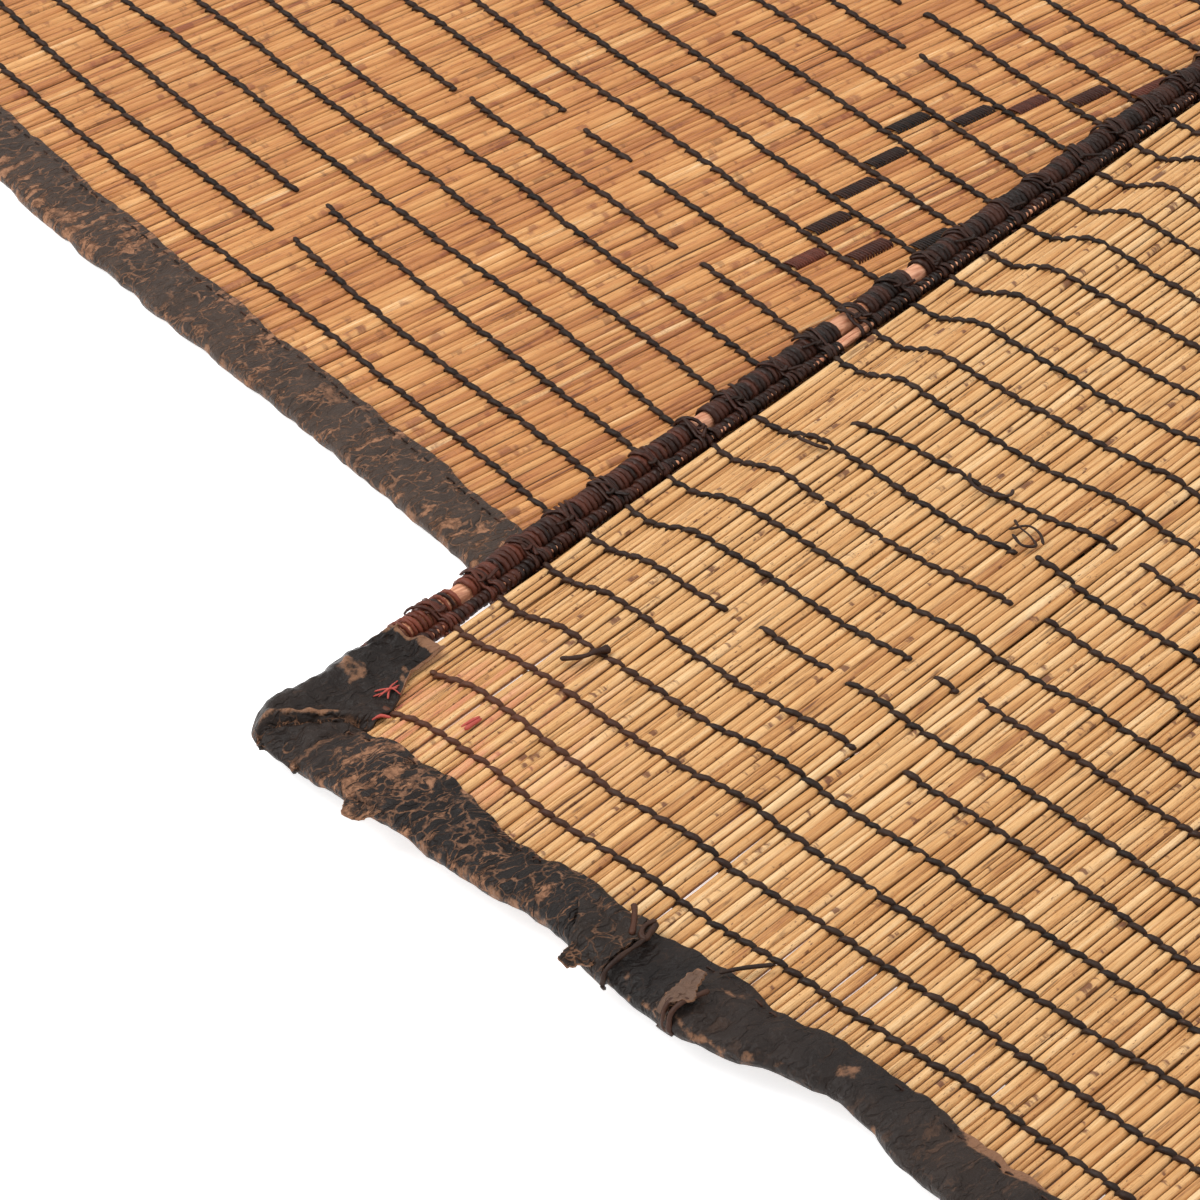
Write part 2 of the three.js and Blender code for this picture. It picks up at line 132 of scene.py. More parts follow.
LIE = (
    LieRow("far end", -0.2551, 0.5133, 0.0059, 0.0059, 1, 0, 0.0265),
    LieRow("far cap", -0.2555, 0.5013, 0.0054, 0.0054, 1.05, 0, 0.0265),
    LieRow("far rise", -0.2564, 0.4778, 0.0042, 0.0042, 1.2, 0, 0.0265),
    LieRow("layer", -0.2576, 0.4448, 0.0035, 0.0035, 1.5, 0, 0.0265),
    LieRow("layer", -0.2645, 0.2628, 0.0035, 0.0035, 2.4, -0.0015, 0.0255),
    LieRow("layer", -0.2664, 0.1048, 0.0035, 0.0035, 2.9, 0.0005, 0.0265),
    LieRow("under rod", -0.2689, 0.0098, 0.0035, 0.0035, 3.4, 0.0005, 0.026),
    LieRow("hidden", -0.2742, -0.1112, 0.0035, 0.0035, 3.9, 0, 0.0265),
    LieRow("hidden", -0.2912, -0.2612, 0.0035, 0.0035, 4.5, 0, 0.0265),
    LieRow("hidden", -0.3102, -0.4212, 0.0035, 0.0035, 5.3, 0, 0.0265),
    LieRow("fold foot", -0.3192, -0.5012, 0.0039, 0.0039, 6, 0, 0.0265),
    LieRow("fold low", -0.3232, -0.5282, 0.009, 0.009, 6.3, 0, 0.0265),
    LieRow("fold", -0.3272, -0.5392, 0.019, 0.019, 6.6, 0, 0.0265),
    LieRow("fold high", -0.3312, -0.5272, 0.029, 0.029, 6.9, 0, 0.0265),
    LieRow("fold crown", -0.3347, -0.5012, 0.0315, 0.032, 7.3, 0, 0.0265),
    LieRow("fold heel", -0.3402, -0.4562, 0.0255, 0.028, 8.2, 0, 0.0265),
    LieRow("flap", -0.3512, -0.4012, 0.0165, 0.02, 9.5, 0, 0.0245),
    LieRow("flap", -0.3569, -0.3375, 0.0124, 0.0175, 10, 0.002, 0.0265),
    LieRow("flap", -0.3611, -0.2956, 0.0132, 0.018, 10.2, 0.009, 0.029),
    LieRow("flap", -0.3634, -0.2752, 0.0133, 0.0188, 10.3, 0.007, 0.028),
    LieRow("flap", -0.3658, -0.2552, 0.014, 0.0205, 10.4, 0, 0.0245),
    LieRow("tie", -0.3683, -0.2372, 0.0146, 0.0215, 10.5, -0.0045, 0.026),
    LieRow("flap", -0.3701, -0.2182, 0.0128, 0.019, 10.6, -0.0045, 0.026),
    LieRow("patch", -0.3725, -0.1992, 0.013, 0.0205, 10.7, -0.0025, 0.022),
    LieRow("hump", -0.3749, -0.1792, 0.016, 0.0235, 10.8, 0, 0.0235),
    LieRow("hump", -0.3773, -0.1617, 0.015, 0.0215, 10.9, 0.002, 0.0255),
    LieRow("flap", -0.38, -0.1397, 0.0135, 0.0205, 11, 0.0005, 0.0245),
    LieRow("flap", -0.3822, -0.1177, 0.014, 0.0205, 11.1, 0, 0.026),
    LieRow("hump", -0.385, -0.0962, 0.0155, 0.0215, 11.3, -0.001, 0.028),
    LieRow("hump", -0.3878, -0.0752, 0.016, 0.025, 11.5, -0.002, 0.0285),
    LieRow("near cap", -0.3904, -0.0526, 0.0124, 0.0139, 11.85, 0, 0.0265),
    LieRow("flap end", -0.3908, -0.0396, 0.0119, 0.0136, 12.1, 0, 0.0265),
)


def ripple(u: np.ndarray, v: np.ndarray, wavelength: float, seed: int, waves: int = 9) -> np.ndarray:
    """Smooth uneven height over a surface, between about -1 and 1.

    Args:
        u: First surface coordinate of each point.
        v: Second surface coordinate of each point.
        wavelength: Usual distance from one crest to the next.
        seed: Picks one pattern of waves.
        waves: How many waves are added up.

    Returns:
        One height for each point.
    """
    rng = np.random.default_rng(seed)
    u, v = np.broadcast_arrays(np.asarray(u, float), np.asarray(v, float))
    total = np.zeros(u.shape)
    for _ in range(waves):
        heading = rng.uniform(0, FULL_TURN)
        pull = FULL_TURN / (wavelength * rng.uniform(0.6, 1.7))
        phase = rng.uniform(0, FULL_TURN)
        total += np.sin(pull * (u * math.cos(heading) + v * math.sin(heading)) + phase)
    return total / math.sqrt(waves)


def unit(vectors: np.ndarray) -> np.ndarray:
    """The same vectors at length one."""
    return vectors / np.linalg.norm(vectors, axis=-1, keepdims=True)


def between(low: float, high: float, values: np.ndarray) -> np.ndarray:
    """A soft step from 0 at low to 1 at high."""
    part = np.clip((np.asarray(values, float) - low) / (high - low), 0, 1)
    return part * part * (3 - 2 * part)


def bell(offset: np.ndarray, width: float = 1.0) -> np.ndarray:
    """A soft hump: 1 where the offset is nothing, and next to 0 from two widths on."""
    return np.exp(-((offset / width) ** 2))


def squared_off(wave: np.ndarray, power: float) -> np.ndarray:
    """A wave between -1 and 1 with its crests made broader by a power under 1."""
    return np.sign(wave) * np.abs(wave) ** power


def swollen(inward: np.ndarray, edge: np.ndarray, seam: np.ndarray) -> np.ndarray:
    """How full the leather stands between the fold at its edge and its seam, from 0 to 1."""
    return np.sin(math.pi * np.clip((inward - edge) / (seam - edge), 0, 1)) ** 0.7


def kept_above(points: np.ndarray, height: float) -> np.ndarray:
    """The same points, with those below a height raised to it."""
    raised = points.copy()
    raised[:, 2] = np.maximum(points[:, 2], height)
    return raised


def eased(knots: np.ndarray, values: np.ndarray, places: np.ndarray) -> np.ndarray:
    """A smooth curve through given values that never swings past them.

    Args:
        knots: Rising places of the given values.
        values: One row of values for each knot.
        places: Where the curve is wanted.

    Returns:
        One row of values for each place.
    """
    step = np.diff(knots)[:, None]
    slope = np.diff(values, axis=0) / step
    tangent = np.zeros_like(values)
    product = slope[1:] * slope[:-1]
    first = 2 * step[1:] + step[:-1]
    second = step[1:] + 2 * step[:-1]
    with np.errstate(divide="ignore", invalid="ignore"):
        harmonic = (first + second) / (first / slope[:-1] + second / slope[1:])
    tangent[1:-1] = np.where(product > 0, harmonic, 0)
    tangent[0], tangent[-1] = slope[0], slope[-1]
    index = np.clip(np.searchsorted(knots, places, side="right") - 1, 0, len(knots) - 2)
    width = step[index]
    part = (places - knots[index])[:, None] / width
    start = (2 * part**3 - 3 * part**2 + 1) * values[index]
    leave = (part**3 - 2 * part**2 + part) * width * tangent[index]
    stop = (3 * part**2 - 2 * part**3) * values[index + 1]
    arrive = (part**3 - part**2) * width * tangent[index + 1]
    return start + leave + stop + arrive


class MatLie:
    """How the mat lies: a straight reed line at each distance from its far end."""

    def __init__(self, rows: tuple[LieRow, ...], width: float, samples: int = 3000) -> None:
        """Round the table of places off to a smooth lie.

        Args:
            rows: Places from the far end to the end of the flap.
            width: Length of a reed line.
            samples: How many reed lines are kept.
        """
        near, far = (np.array(ends) for ends in zip(*(row.ends(width) for row in rows)))
        knots = self._run((near + far) / 2)
        trim = np.array([[row.edge, row.seam] for row in rows])
        table = eased(knots, np.hstack([near, far, trim]), np.linspace(0, knots[-1], samples))
        self.width = width
        self.near = table[:, 0:3]
        self.far = table[:, 3:6]
        self.trim = table[:, 6:8]
        self.reed = unit(self.far - self.near)
        self.near_face = unit(np.cross(np.gradient(self.near, axis=0), self.reed))
        self.far_face = unit(np.cross(np.gradient(self.far, axis=0), self.reed))
        self.distance = self._run((self.near + self.far) / 2)
        self.near_distance = self._run(self.near)
        self.length = float(self.distance[-1])
        self.fold = float(self.distance[np.argmin(self.near[:, 1])])

    @staticmethod
    def _run(points: np.ndarray) -> np.ndarray:
        """Distance run along a line of points."""
        return np.concatenate([[0.0], np.cumsum(np.linalg.norm(np.diff(points, axis=0), axis=1))])

    def _read(self, table: np.ndarray, distance: np.ndarray) -> np.ndarray:
        """Rows of a table at given distances."""
        return np.stack([np.interp(distance, self.distance, column) for column in table.T], -1)

    def point(self, distance: np.ndarray, across: np.ndarray, lift: np.ndarray) -> np.ndarray:
        """Points on or off the mat.

        Args:
            distance: From the far end, along the mat's middle.
            across: From the near edge, along the reeds.
            lift: Off the reeds' middle plane, towards the mat's front.

        Returns:
            One point for each set of the three.
        """
        distance, across, lift = np.broadcast_arrays(distance, across, lift)
        part = (across / self.width)[..., None]
        near_face = self._read(self.near_face, distance)
        far_face = self._read(self.far_face, distance)
        face = unit(near_face * (1 - part) + far_face * part)
        base = self._read(self.near, distance)
        reed = self._read(self.reed, distance)
        return base + reed * across[..., None] + face * lift[..., None]

    def edge_and_seam(self, distance: np.ndarray) -> tuple[np.ndarray, np.ndarray]:
        """How far the near edge is drawn in, and where its seam lies."""
        trim = self._read(self.trim, np.asarray(distance, float))
        return trim[..., 0], trim[..., 1]

    def back_from_flap(self, along_edge: np.ndarray) -> np.ndarray:
        """The distances of places that lie so far back from the flap's end along the near edge."""
        return np.interp(self.near_distance[-1] - along_edge, self.near_distance, self.distance)


def row_place(row: int) -> float:
    """Where a lacing row crosses the mat, from the near edge."""
    pitch = (MAT_WIDTH - 2 * ROW_MARGIN) / (ROW_COUNT - 1)
    return ROW_MARGIN + pitch * row - ROW_DRIFT * math.sin(math.pi * row / (ROW_COUNT - 1))


@dataclass(frozen=True)
class Corner:
    """Directions at one corner: inward along the reeds, outward past their ends, and off their plane."""

    origin: np.ndarray
    inward: np.ndarray
    outward: np.ndarray
    face: np.ndarray

    @classmethod
    def of(cls, end: End, side: Side) -> "Corner":
        """The corner where an end meets a side."""
        rows = (LIE[-1], LIE[-2]) if end is End.FLAP else (LIE[0], LIE[1])
        last, inner = (row.ends(MAT_WIDTH) for row in rows)
        origin = last[side.value]
        outward = unit(origin - inner[side.value])
        reed = unit(last[1] - last[0])
        inward = reed if side is Side.NEAR else -reed
        return cls(origin, inward, outward, unit(np.cross(outward, inward)))

    def at(self, across: np.ndarray, out: np.ndarray, lift: np.ndarray) -> np.ndarray:
        """Points given by their distances along the corner's three directions."""
        across, out, lift = (np.asarray(value, float)[..., None] for value in (across, out, lift))
        return self.origin + across * self.inward + out * self.outward + lift * self.face


@dataclass(frozen=True)
class RodLine:
    """The straight line of a rod, with the two directions across it."""

    start: np.ndarray
    axis: np.ndarray
    out: np.ndarray
    up: np.ndarray
    length: float

    @classmethod
    def of(cls, end: End, out: float) -> "RodLine":
        """The line that lies so far out from the reeds' ends."""
        near, far = Corner.of(end, Side.NEAR), Corner.of(end, Side.FAR)
        start, stop = near.at(0, out, 0), far.at(0, out, 0)
        axis = unit(stop - start)
        outward = unit(near.outward - axis * float(near.outward @ axis))
        return cls(start, axis, outward, np.cross(axis, outward), float(np.linalg.norm(stop - start)))

    def lay(self, points: np.ndarray) -> np.ndarray:
        """Points modelled round the Z axis, laid round this line instead."""
        return (
            self.start
            + points[:, 2:3] * self.axis
            + points[:, 0:1] * self.out
            + points[:, 1:2] * self.up
        )


@dataclass(frozen=True)
class Value:
    """The result of a node, which can be added and multiplied like a number."""

    board: "NodeBoard"
    socket: bpy.types.NodeSocket

    def __add__(self, other: object) -> "Value":
        """This value and another added."""
        return self.board.math("ADD", self, other)

    def __sub__(self, other: object) -> "Value":
        """This value less another."""
        return self.board.math("SUBTRACT", self, other)

    def __rsub__(self, other: float) -> "Value":
        """A number less this value."""
        return self.board.math("SUBTRACT", other, self)

    def __mul__(self, other: object) -> "Value":
        """This value and another multiplied."""
        return self.board.math("MULTIPLY", self, other)

    def size(self) -> "Value":
        """This value without its sign."""
        return self.board.math("ABSOLUTE", self)

    def or_more(self, other: object) -> "Value":
        """The larger of this value and another."""
        return self.board.math("MAXIMUM", self, other)

    def centred(self, strength: float) -> "Value":
        """A value between 0 and 1, spread as widely as wanted about nothing."""
        return (self - 0.5) * strength

    def step(self, low: object, high: object) -> "Value":
        """A soft step from 0 to 1 as this value goes from low to high."""
        inputs = {"Value": self, "From Min": low, "From Max": high}
        return self.board.add("ShaderNodeMapRange", inputs, interpolation_type="SMOOTHSTEP")


@dataclass(frozen=True)
class Cloud:
    """A cloudy pattern: how finely it is cut along each axis, its detail and its roughness."""

    stretch: tuple[float, float, float]
    detail: float = 3.0
    rough: float = 0.55


class NodeBoard:
    """One material's nodes, added and joined by name."""

    def __init__(self, name: str) -> None:
        """Start a material.

        Args:
            name: The material's name.
        """
        self.material = bpy.data.materials.new(name)
        self.material.use_nodes = True
        self.tree = self.material.node_tree
        self.shader = self.tree.nodes["Principled BSDF"]

    def add(self, kind: str, inputs: dict | None = None, output: object = 0, **settings: object) -> Value:
        """Add a node.

        Args:
            kind: Blender's name of the node's kind.
            inputs: Values for its inputs, by name or number.
            output: Name or number of the output that is wanted.
            **settings: Its own settings.

        Returns:
            The node's result.
        """
        node = self.tree.nodes.new(kind)
        for key, value in settings.items():
            setattr(node, key, value)
        for key, value in (inputs or {}).items():
            self.feed(node.inputs[key], value)
        return Value(self, node.outputs[output])

    def feed(self, socket: bpy.types.NodeSocket, value: object) -> None:
        """Set a socket to a constant, or join it to a node's result."""
        if isinstance(value, Value):
            self.tree.links.new(value.socket, socket)
        else:
            socket.default_value = value

    def math(self, operation: str, first: object, second: object = 0.0) -> Value:
        """The result of a sum on one or two values."""
        return self.add("ShaderNodeMath", {0: first, 1: second}, operation=operation)

    def noise(self, vector: object, scale: float, detail: float = 3.0, rough: float = 0.55) -> Value:
        """Cloudy values between 0 and 1."""
        inputs = {"Vector": vector, "Scale": scale, "Detail": detail, "Roughness": rough}
        return self.add("ShaderNodeTexNoise", inputs, "Fac")

    def stretched(self, vector: object, scale: tuple[float, float, float]) -> Value:
        """The same coordinates, scaled along each axis."""
        return self.add("ShaderNodeMapping", {"Vector": vector, "Scale": scale})

    def cloud(self, vector: object, cloud: Cloud) -> Value:
        """A cloudy pattern that is cut more finely along one axis than along another."""
        return self.noise(self.stretched(vector, cloud.stretch), 1.0, cloud.detail, cloud.rough)

    def mix(self, factor: object, first: object, second: object, blend: str = "MIX") -> Value:
        """Two colours mixed."""
        inputs = {0: factor, 6: first, 7: second}
        return self.add("ShaderNodeMix", inputs, 2, data_type="RGBA", blend_type=blend)

    def ramp(self, factor: object, stops: tuple[tuple[float, tuple], ...]) -> Value:
        """A colour read from a ramp of stops."""
        colour = self.add("ShaderNodeValToRGB", {0: factor})
        elements = colour.socket.node.color_ramp.elements
        while len(elements) < len(stops):
            elements.new(0.5)
        for element, (place, shade) in zip(elements, stops):
            element.position = place
            element.color = shade
        return colour

    def channels(self, name: str) -> list[Value]:
        """The three channels of a colour kept on the mesh."""
        kept = self.add("ShaderNodeAttribute", output="Color", attribute_name=name)
        split = self.add("ShaderNodeSeparateColor", {0: kept}).socket.node
        return [Value(self, split.outputs[index]) for index in range(3)]

    def objects(self) -> Value:
        """The piece's own coordinates."""
        return self.add("ShaderNodeTexCoord", output="Object")

    def finish(
        self, colour: object, rough: object, height: object, depth: float, gloss: float | None = None
    ) -> bpy.types.Material:
        """Join colour, roughness and relief to the shader.

        Args:
            colour: Colour of the surface.
            rough: Its roughness.
            height: Height of its relief, between 0 and 1.
            depth: The relief's full depth.
            gloss: How much it mirrors, if that isn't the shader's own measure.

        Returns:
            The material.
        """
        bump = self.add("ShaderNodeBump", {"Height": height, "Distance": depth, "Strength": 1.0})
        self.feed(self.shader.inputs["Base Color"], colour)
        self.feed(self.shader.inputs["Roughness"], rough)
        self.feed(self.shader.inputs["Normal"], bump)
        if gloss is not None:
            self.feed(self.shader.inputs["Specular IOR Level"], gloss)
        return self.material


def paint(red: int, green: int, blue: int) -> tuple[float, float, float, float]:
    """A colour given by its three display values, from 0 to 255."""
    shown = [value / 255 for value in (red, green, blue)]
    linear = [value / 12.92 if value <= 0.04045 else ((value + 0.055) / 1.055) ** 2.4 for value in shown]
    return (*linear, 1.0)


@dataclass(frozen=True)
class ReedFinish:
    """Straw of the reeds: worn and warm on the front, paler on the back, with dark nodes and specks, and
    painted shade where the reeds meet.
    """

    front: tuple = (
        (0.0, paint(138, 78, 40)),
        (0.3, paint(184, 118, 64)),
        (0.6, paint(207, 145, 84)),
        (0.85, paint(223, 168, 106)),
        (1.0, paint(238, 198, 148)),
    )
    back: tuple = (
        (0.0, paint(158, 98, 50)),
        (0.3, paint(202, 146, 86)),
        (0.6, paint(222, 173, 114)),
        (1.0, paint(240, 204, 154)),
    )
    front_blotch: tuple = paint(128, 62, 34)
    back_blotch: tuple = paint(100, 50, 22)
    # Colour of the painted shade in the gaps between the reeds.
    crevice_shade: tuple = paint(62, 30, 12)
    pink: tuple = paint(206, 108, 84)
    pink_place: tuple = (-0.338, -0.072, 0.016)
    grain: Cloud = Cloud((34, 2300, 1), 5.0, 0.68)
    streak: Cloud = Cloud((26, 420, 1), 4.0, 0.62)
    drift: Cloud = Cloud((24, 40, 1), 3.0, 0.6)
    stain: Cloud = Cloud((60, 16, 1), 5.0, 0.6)
    knot: Cloud = Cloud((90, 33, 1), 4.0, 0.62)
    fleck: Cloud = Cloud((300, 1100, 1), 3.0, 0.6)
    relief: float = 0.0004

    def make(self) -> bpy.types.Material:
        """The material of the reeds."""
        board = NodeBoard("reed straw")
        tone, back, height = board.channels("reed")
        along = board.add("ShaderNodeUVMap", uv_map="lay")
        place = board.objects()
        grain = board.cloud(along, self.grain)
        streak = board.cloud(along, self.streak)
        drift = board.cloud(along, self.drift)
        level = tone + grain.centred(1.0) + streak.centred(1.1) + drift.centred(0.8)
        straw = board.mix(back, board.ramp(level, self.front), board.ramp(level, self.back))
        straw = self._stains(board, straw, back, along, place)
        straw = self._marks(board, straw, back, along, place)
        straw = self._dye(board, straw, back, place, drift)
        # Painted shade: thin dark lines of the crevice colour along the streaks, standing in for dark gaps
        # between reeds.
        straw = board.mix(streak.step(0.40, 0.30) * 0.6, straw, self.crevice_shade)
        # Painted shade: each reed's sides, where it meets the next, are darkened towards the crevice colour.
        reach = back * 0.28 + 0.28 + drift.centred(0.5)
        deep = height.step(reach, 0.03) * (back * 0.2 + 0.72)
        straw = board.mix(deep, straw, self.crevice_shade)
        return board.finish(straw, grain * 0.3 + 0.34, grain + streak * 0.7, self.relief)

    def _stains(self, board: NodeBoard, straw: Value, back: Value, along: Value, place: Value) -> Value:
        """The straw with the rusty clouds and the blots of the front, which the back is clear of."""
        front = 1.0 - back
        rusty = board.noise(place, 7.0).step(0.45, 0.72) * (front * 0.30)
        straw = board.mix(rusty, straw, board.mix(0.5, straw, self.front_blotch))
        spread = board.noise(place, 75.0, 4.0, 0.6)
        blot = (board.cloud(along, self.stain) + spread * 0.6).step(0.90, 0.99)
        return board.mix(blot * (front * 0.62), straw, self.front_blotch)

    def _marks(self, board: NodeBoard, straw: Value, back: Value, along: Value, place: Value) -> Value:
        """The straw with the reeds' nodes and specks, which are stronger on the back."""
        node = board.cloud(along, self.knot).step(0.60, 0.67)
        fleck = board.cloud(along, self.fleck).step(0.60, 0.69)
        crowd = board.noise(place, 26.0, 2.0).step(0.40, 0.62)
        marks = node.or_more(fleck * crowd) * (back * 0.42 + 0.45)
        return board.mix(marks, straw, self.back_blotch)

    def _dye(self, board: NodeBoard, straw: Value, back: Value, place: Value, drift: Value) -> Value:
        """The straw with the pink that has run from the threads at the flap's corner."""
        inputs = {0: place, 1: self.pink_place}
        apart = board.add("ShaderNodeVectorMath", inputs, "Value", operation="DISTANCE")
        dyed = apart.step(0.075, 0.01) * drift.step(0.46, 0.62)
        return board.mix(dyed * (back * 0.55), straw, self.pink)


@dataclass(frozen=True)
class LeatherFinish:
    """Old leather: nearly black, rubbed to tan along its creases, raw at its cut edges."""

    name: str
    dark: tuple = paint(18, 12, 10)
    middle: tuple = paint(38, 29, 25)
    faded: tuple = paint(76, 60, 50)
    scuff: tuple = paint(164, 118, 88)
    scuff_dark: tuple = paint(104, 71, 51)
    raw: tuple = paint(136, 97, 71)
    rough: float = 0.42
    gloss: float = 0.2
    relief: float = 0.0016
    warp: float = 0.0115
    cell: tuple = (115, 255, 180)
    streak: Cloud = Cloud((62, 215, 130), 6.0, 0.66)
    fold: Cloud = Cloud((60, 190, 140), 2.0, 0.5)

    def make(self) -> bpy.types.Material:
        """The material of one kind of leather."""
        board = NodeBoard(self.name)
        scuffed, raw, pale = board.channels("wear")
        place = board.objects()
        warp = board.add("ShaderNodeTexNoise", {"Vector": place, "Scale": 90.0, "Detail": 4.0}, "Color")
        bent = board.mix(self.warp, place, warp, "ADD")
        worn = board.noise(place, 110.0, 8.0, 0.7)
        broad = board.noise(place, 24.0, 4.0)
        base = board.mix(broad.step(0.36, 0.7), self.dark, self.middle)
        base = board.mix(pale * (worn.step(0.3, 0.7) * 0.5 + 0.5), base, self.faded)
        lines = self._creases(board, bent, scuffed, worn, broad)
        patches = (worn + scuffed * 0.1).step(0.66, 0.76)
        tan = lines.or_more(patches * 0.7)
        rubbed = board.mix(board.noise(place, 300.0, 4.0, 0.7).step(0.36, 0.62), self.scuff_dark, self.scuff)
        base = board.mix(tan * 0.9, base, rubbed)
        frayed = (raw + worn.centred(1.7)).step(0.42, 0.75)
        base = board.mix(frayed * 0.9, base, self.raw)
        rough = tan * 0.3 + self.rough + broad.centred(0.3)
        pores = board.noise(place, 1100.0, 2.0)
        folds = (board.cloud(bent, self.fold) - 0.5).size().step(0.0, 0.12)
        relief = worn * 0.55 + pores * 0.1 - lines * 0.25 + folds * 0.35
        return board.finish(base, rough, relief, self.relief, self.gloss)

    def _creases(self, board: NodeBoard, bent: Value, scuffed: Value, worn: Value, broad: Value) -> Value:
        """Where creases are rubbed to tan: along the cracks between cells, and in streaks."""
        cells = board.add(
            "ShaderNodeTexVoronoi", {"Vector": board.stretched(bent, self.cell), "Scale": 1.0},
            "Distance", feature="DISTANCE_TO_EDGE",
        )
        cracks = (scuffed * 0.06 - (cells + worn.centred(0.4))).step(-0.03, 0.05) * 0.6
        streaks = board.cloud(bent, self.streak) + (broad.centred(0.35) + scuffed * 0.1)
        return cracks.or_more(streaks.step(0.61, 0.67) * 0.92) * scuffed.step(0.12, 0.6)


@dataclass(frozen=True)
class ThongFinish:
    """Narrow thong, rubbed brown where it stands proud, with fine specks of the rubbed colour as painted
    highlights.
    """

    name: str
    dark: tuple = paint(19, 12, 9)
    middle: tuple = paint(44, 30, 23)
    rubbed: tuple = paint(112, 66, 46)
    rough: float = 0.36
    gloss: float = 0.2
    relief: float = 0.0005

    def make(self) -> bpy.types.Material:
        """The material of one kind of thong."""
        board = NodeBoard(self.name)
        tone, brown, _ = board.channels("tone")
        place = board.objects()
        mottle = board.noise(place, 420.0, 4.0)
        base = board.mix(tone * 0.8 - 0.1, self.dark, self.middle)
        base = board.mix(mottle.step(0.5, 0.75) * 0.5, base, self.middle)
        base = board.mix(brown * 0.85, base, self.rubbed)
        # Painted highlights: fine specks mixed towards the rubbed colour.
        light = board.noise(place, 950.0, 2.0).step(0.66, 0.8)
        base = board.mix(light * 0.4, base, self.rubbed)
        return board.finish(base, mottle * 0.25 + self.rough, mottle, self.relief, self.gloss)


@dataclass(frozen=True)
class WoodFinish:
    """Bare wood of the rods, pinkish and finely grained along its length."""

    light: tuple = paint(226, 168, 132)
    dark: tuple = paint(176, 112, 80)
    fibre: Cloud = Cloud((40, 700, 700), 4.0)
    relief: float = 0.0003

    def make(self) -> bpy.types.Material:
        """The material of the bare wood."""
        board = NodeBoard("rod wood")
        fibres = board.cloud(board.objects(), self.fibre)
        colour = board.mix(fibres.step(0.35, 0.7), self.dark, self.light)
        return board.finish(colour, fibres * 0.2 + 0.45, fibres, self.relief)


@dataclass(frozen=True)
class FloorFinish:
    """Plain pale floor."""

    colour: tuple = (0.93, 0.93, 0.93, 1.0)
    rough: float = 0.9
    glow: float = 0.72

    def make(self) -> bpy.types.Material:
        """The material of the floor."""
        board = NodeBoard("pale floor")
        constants = {
            "Base Color": self.colour, "Roughness": self.rough,
            "Emission Color": self.colour, "Emission Strength": self.glow,
        }
        for socket, value in constants.items():
            board.feed(board.shader.inputs[socket], value)
        return board.material


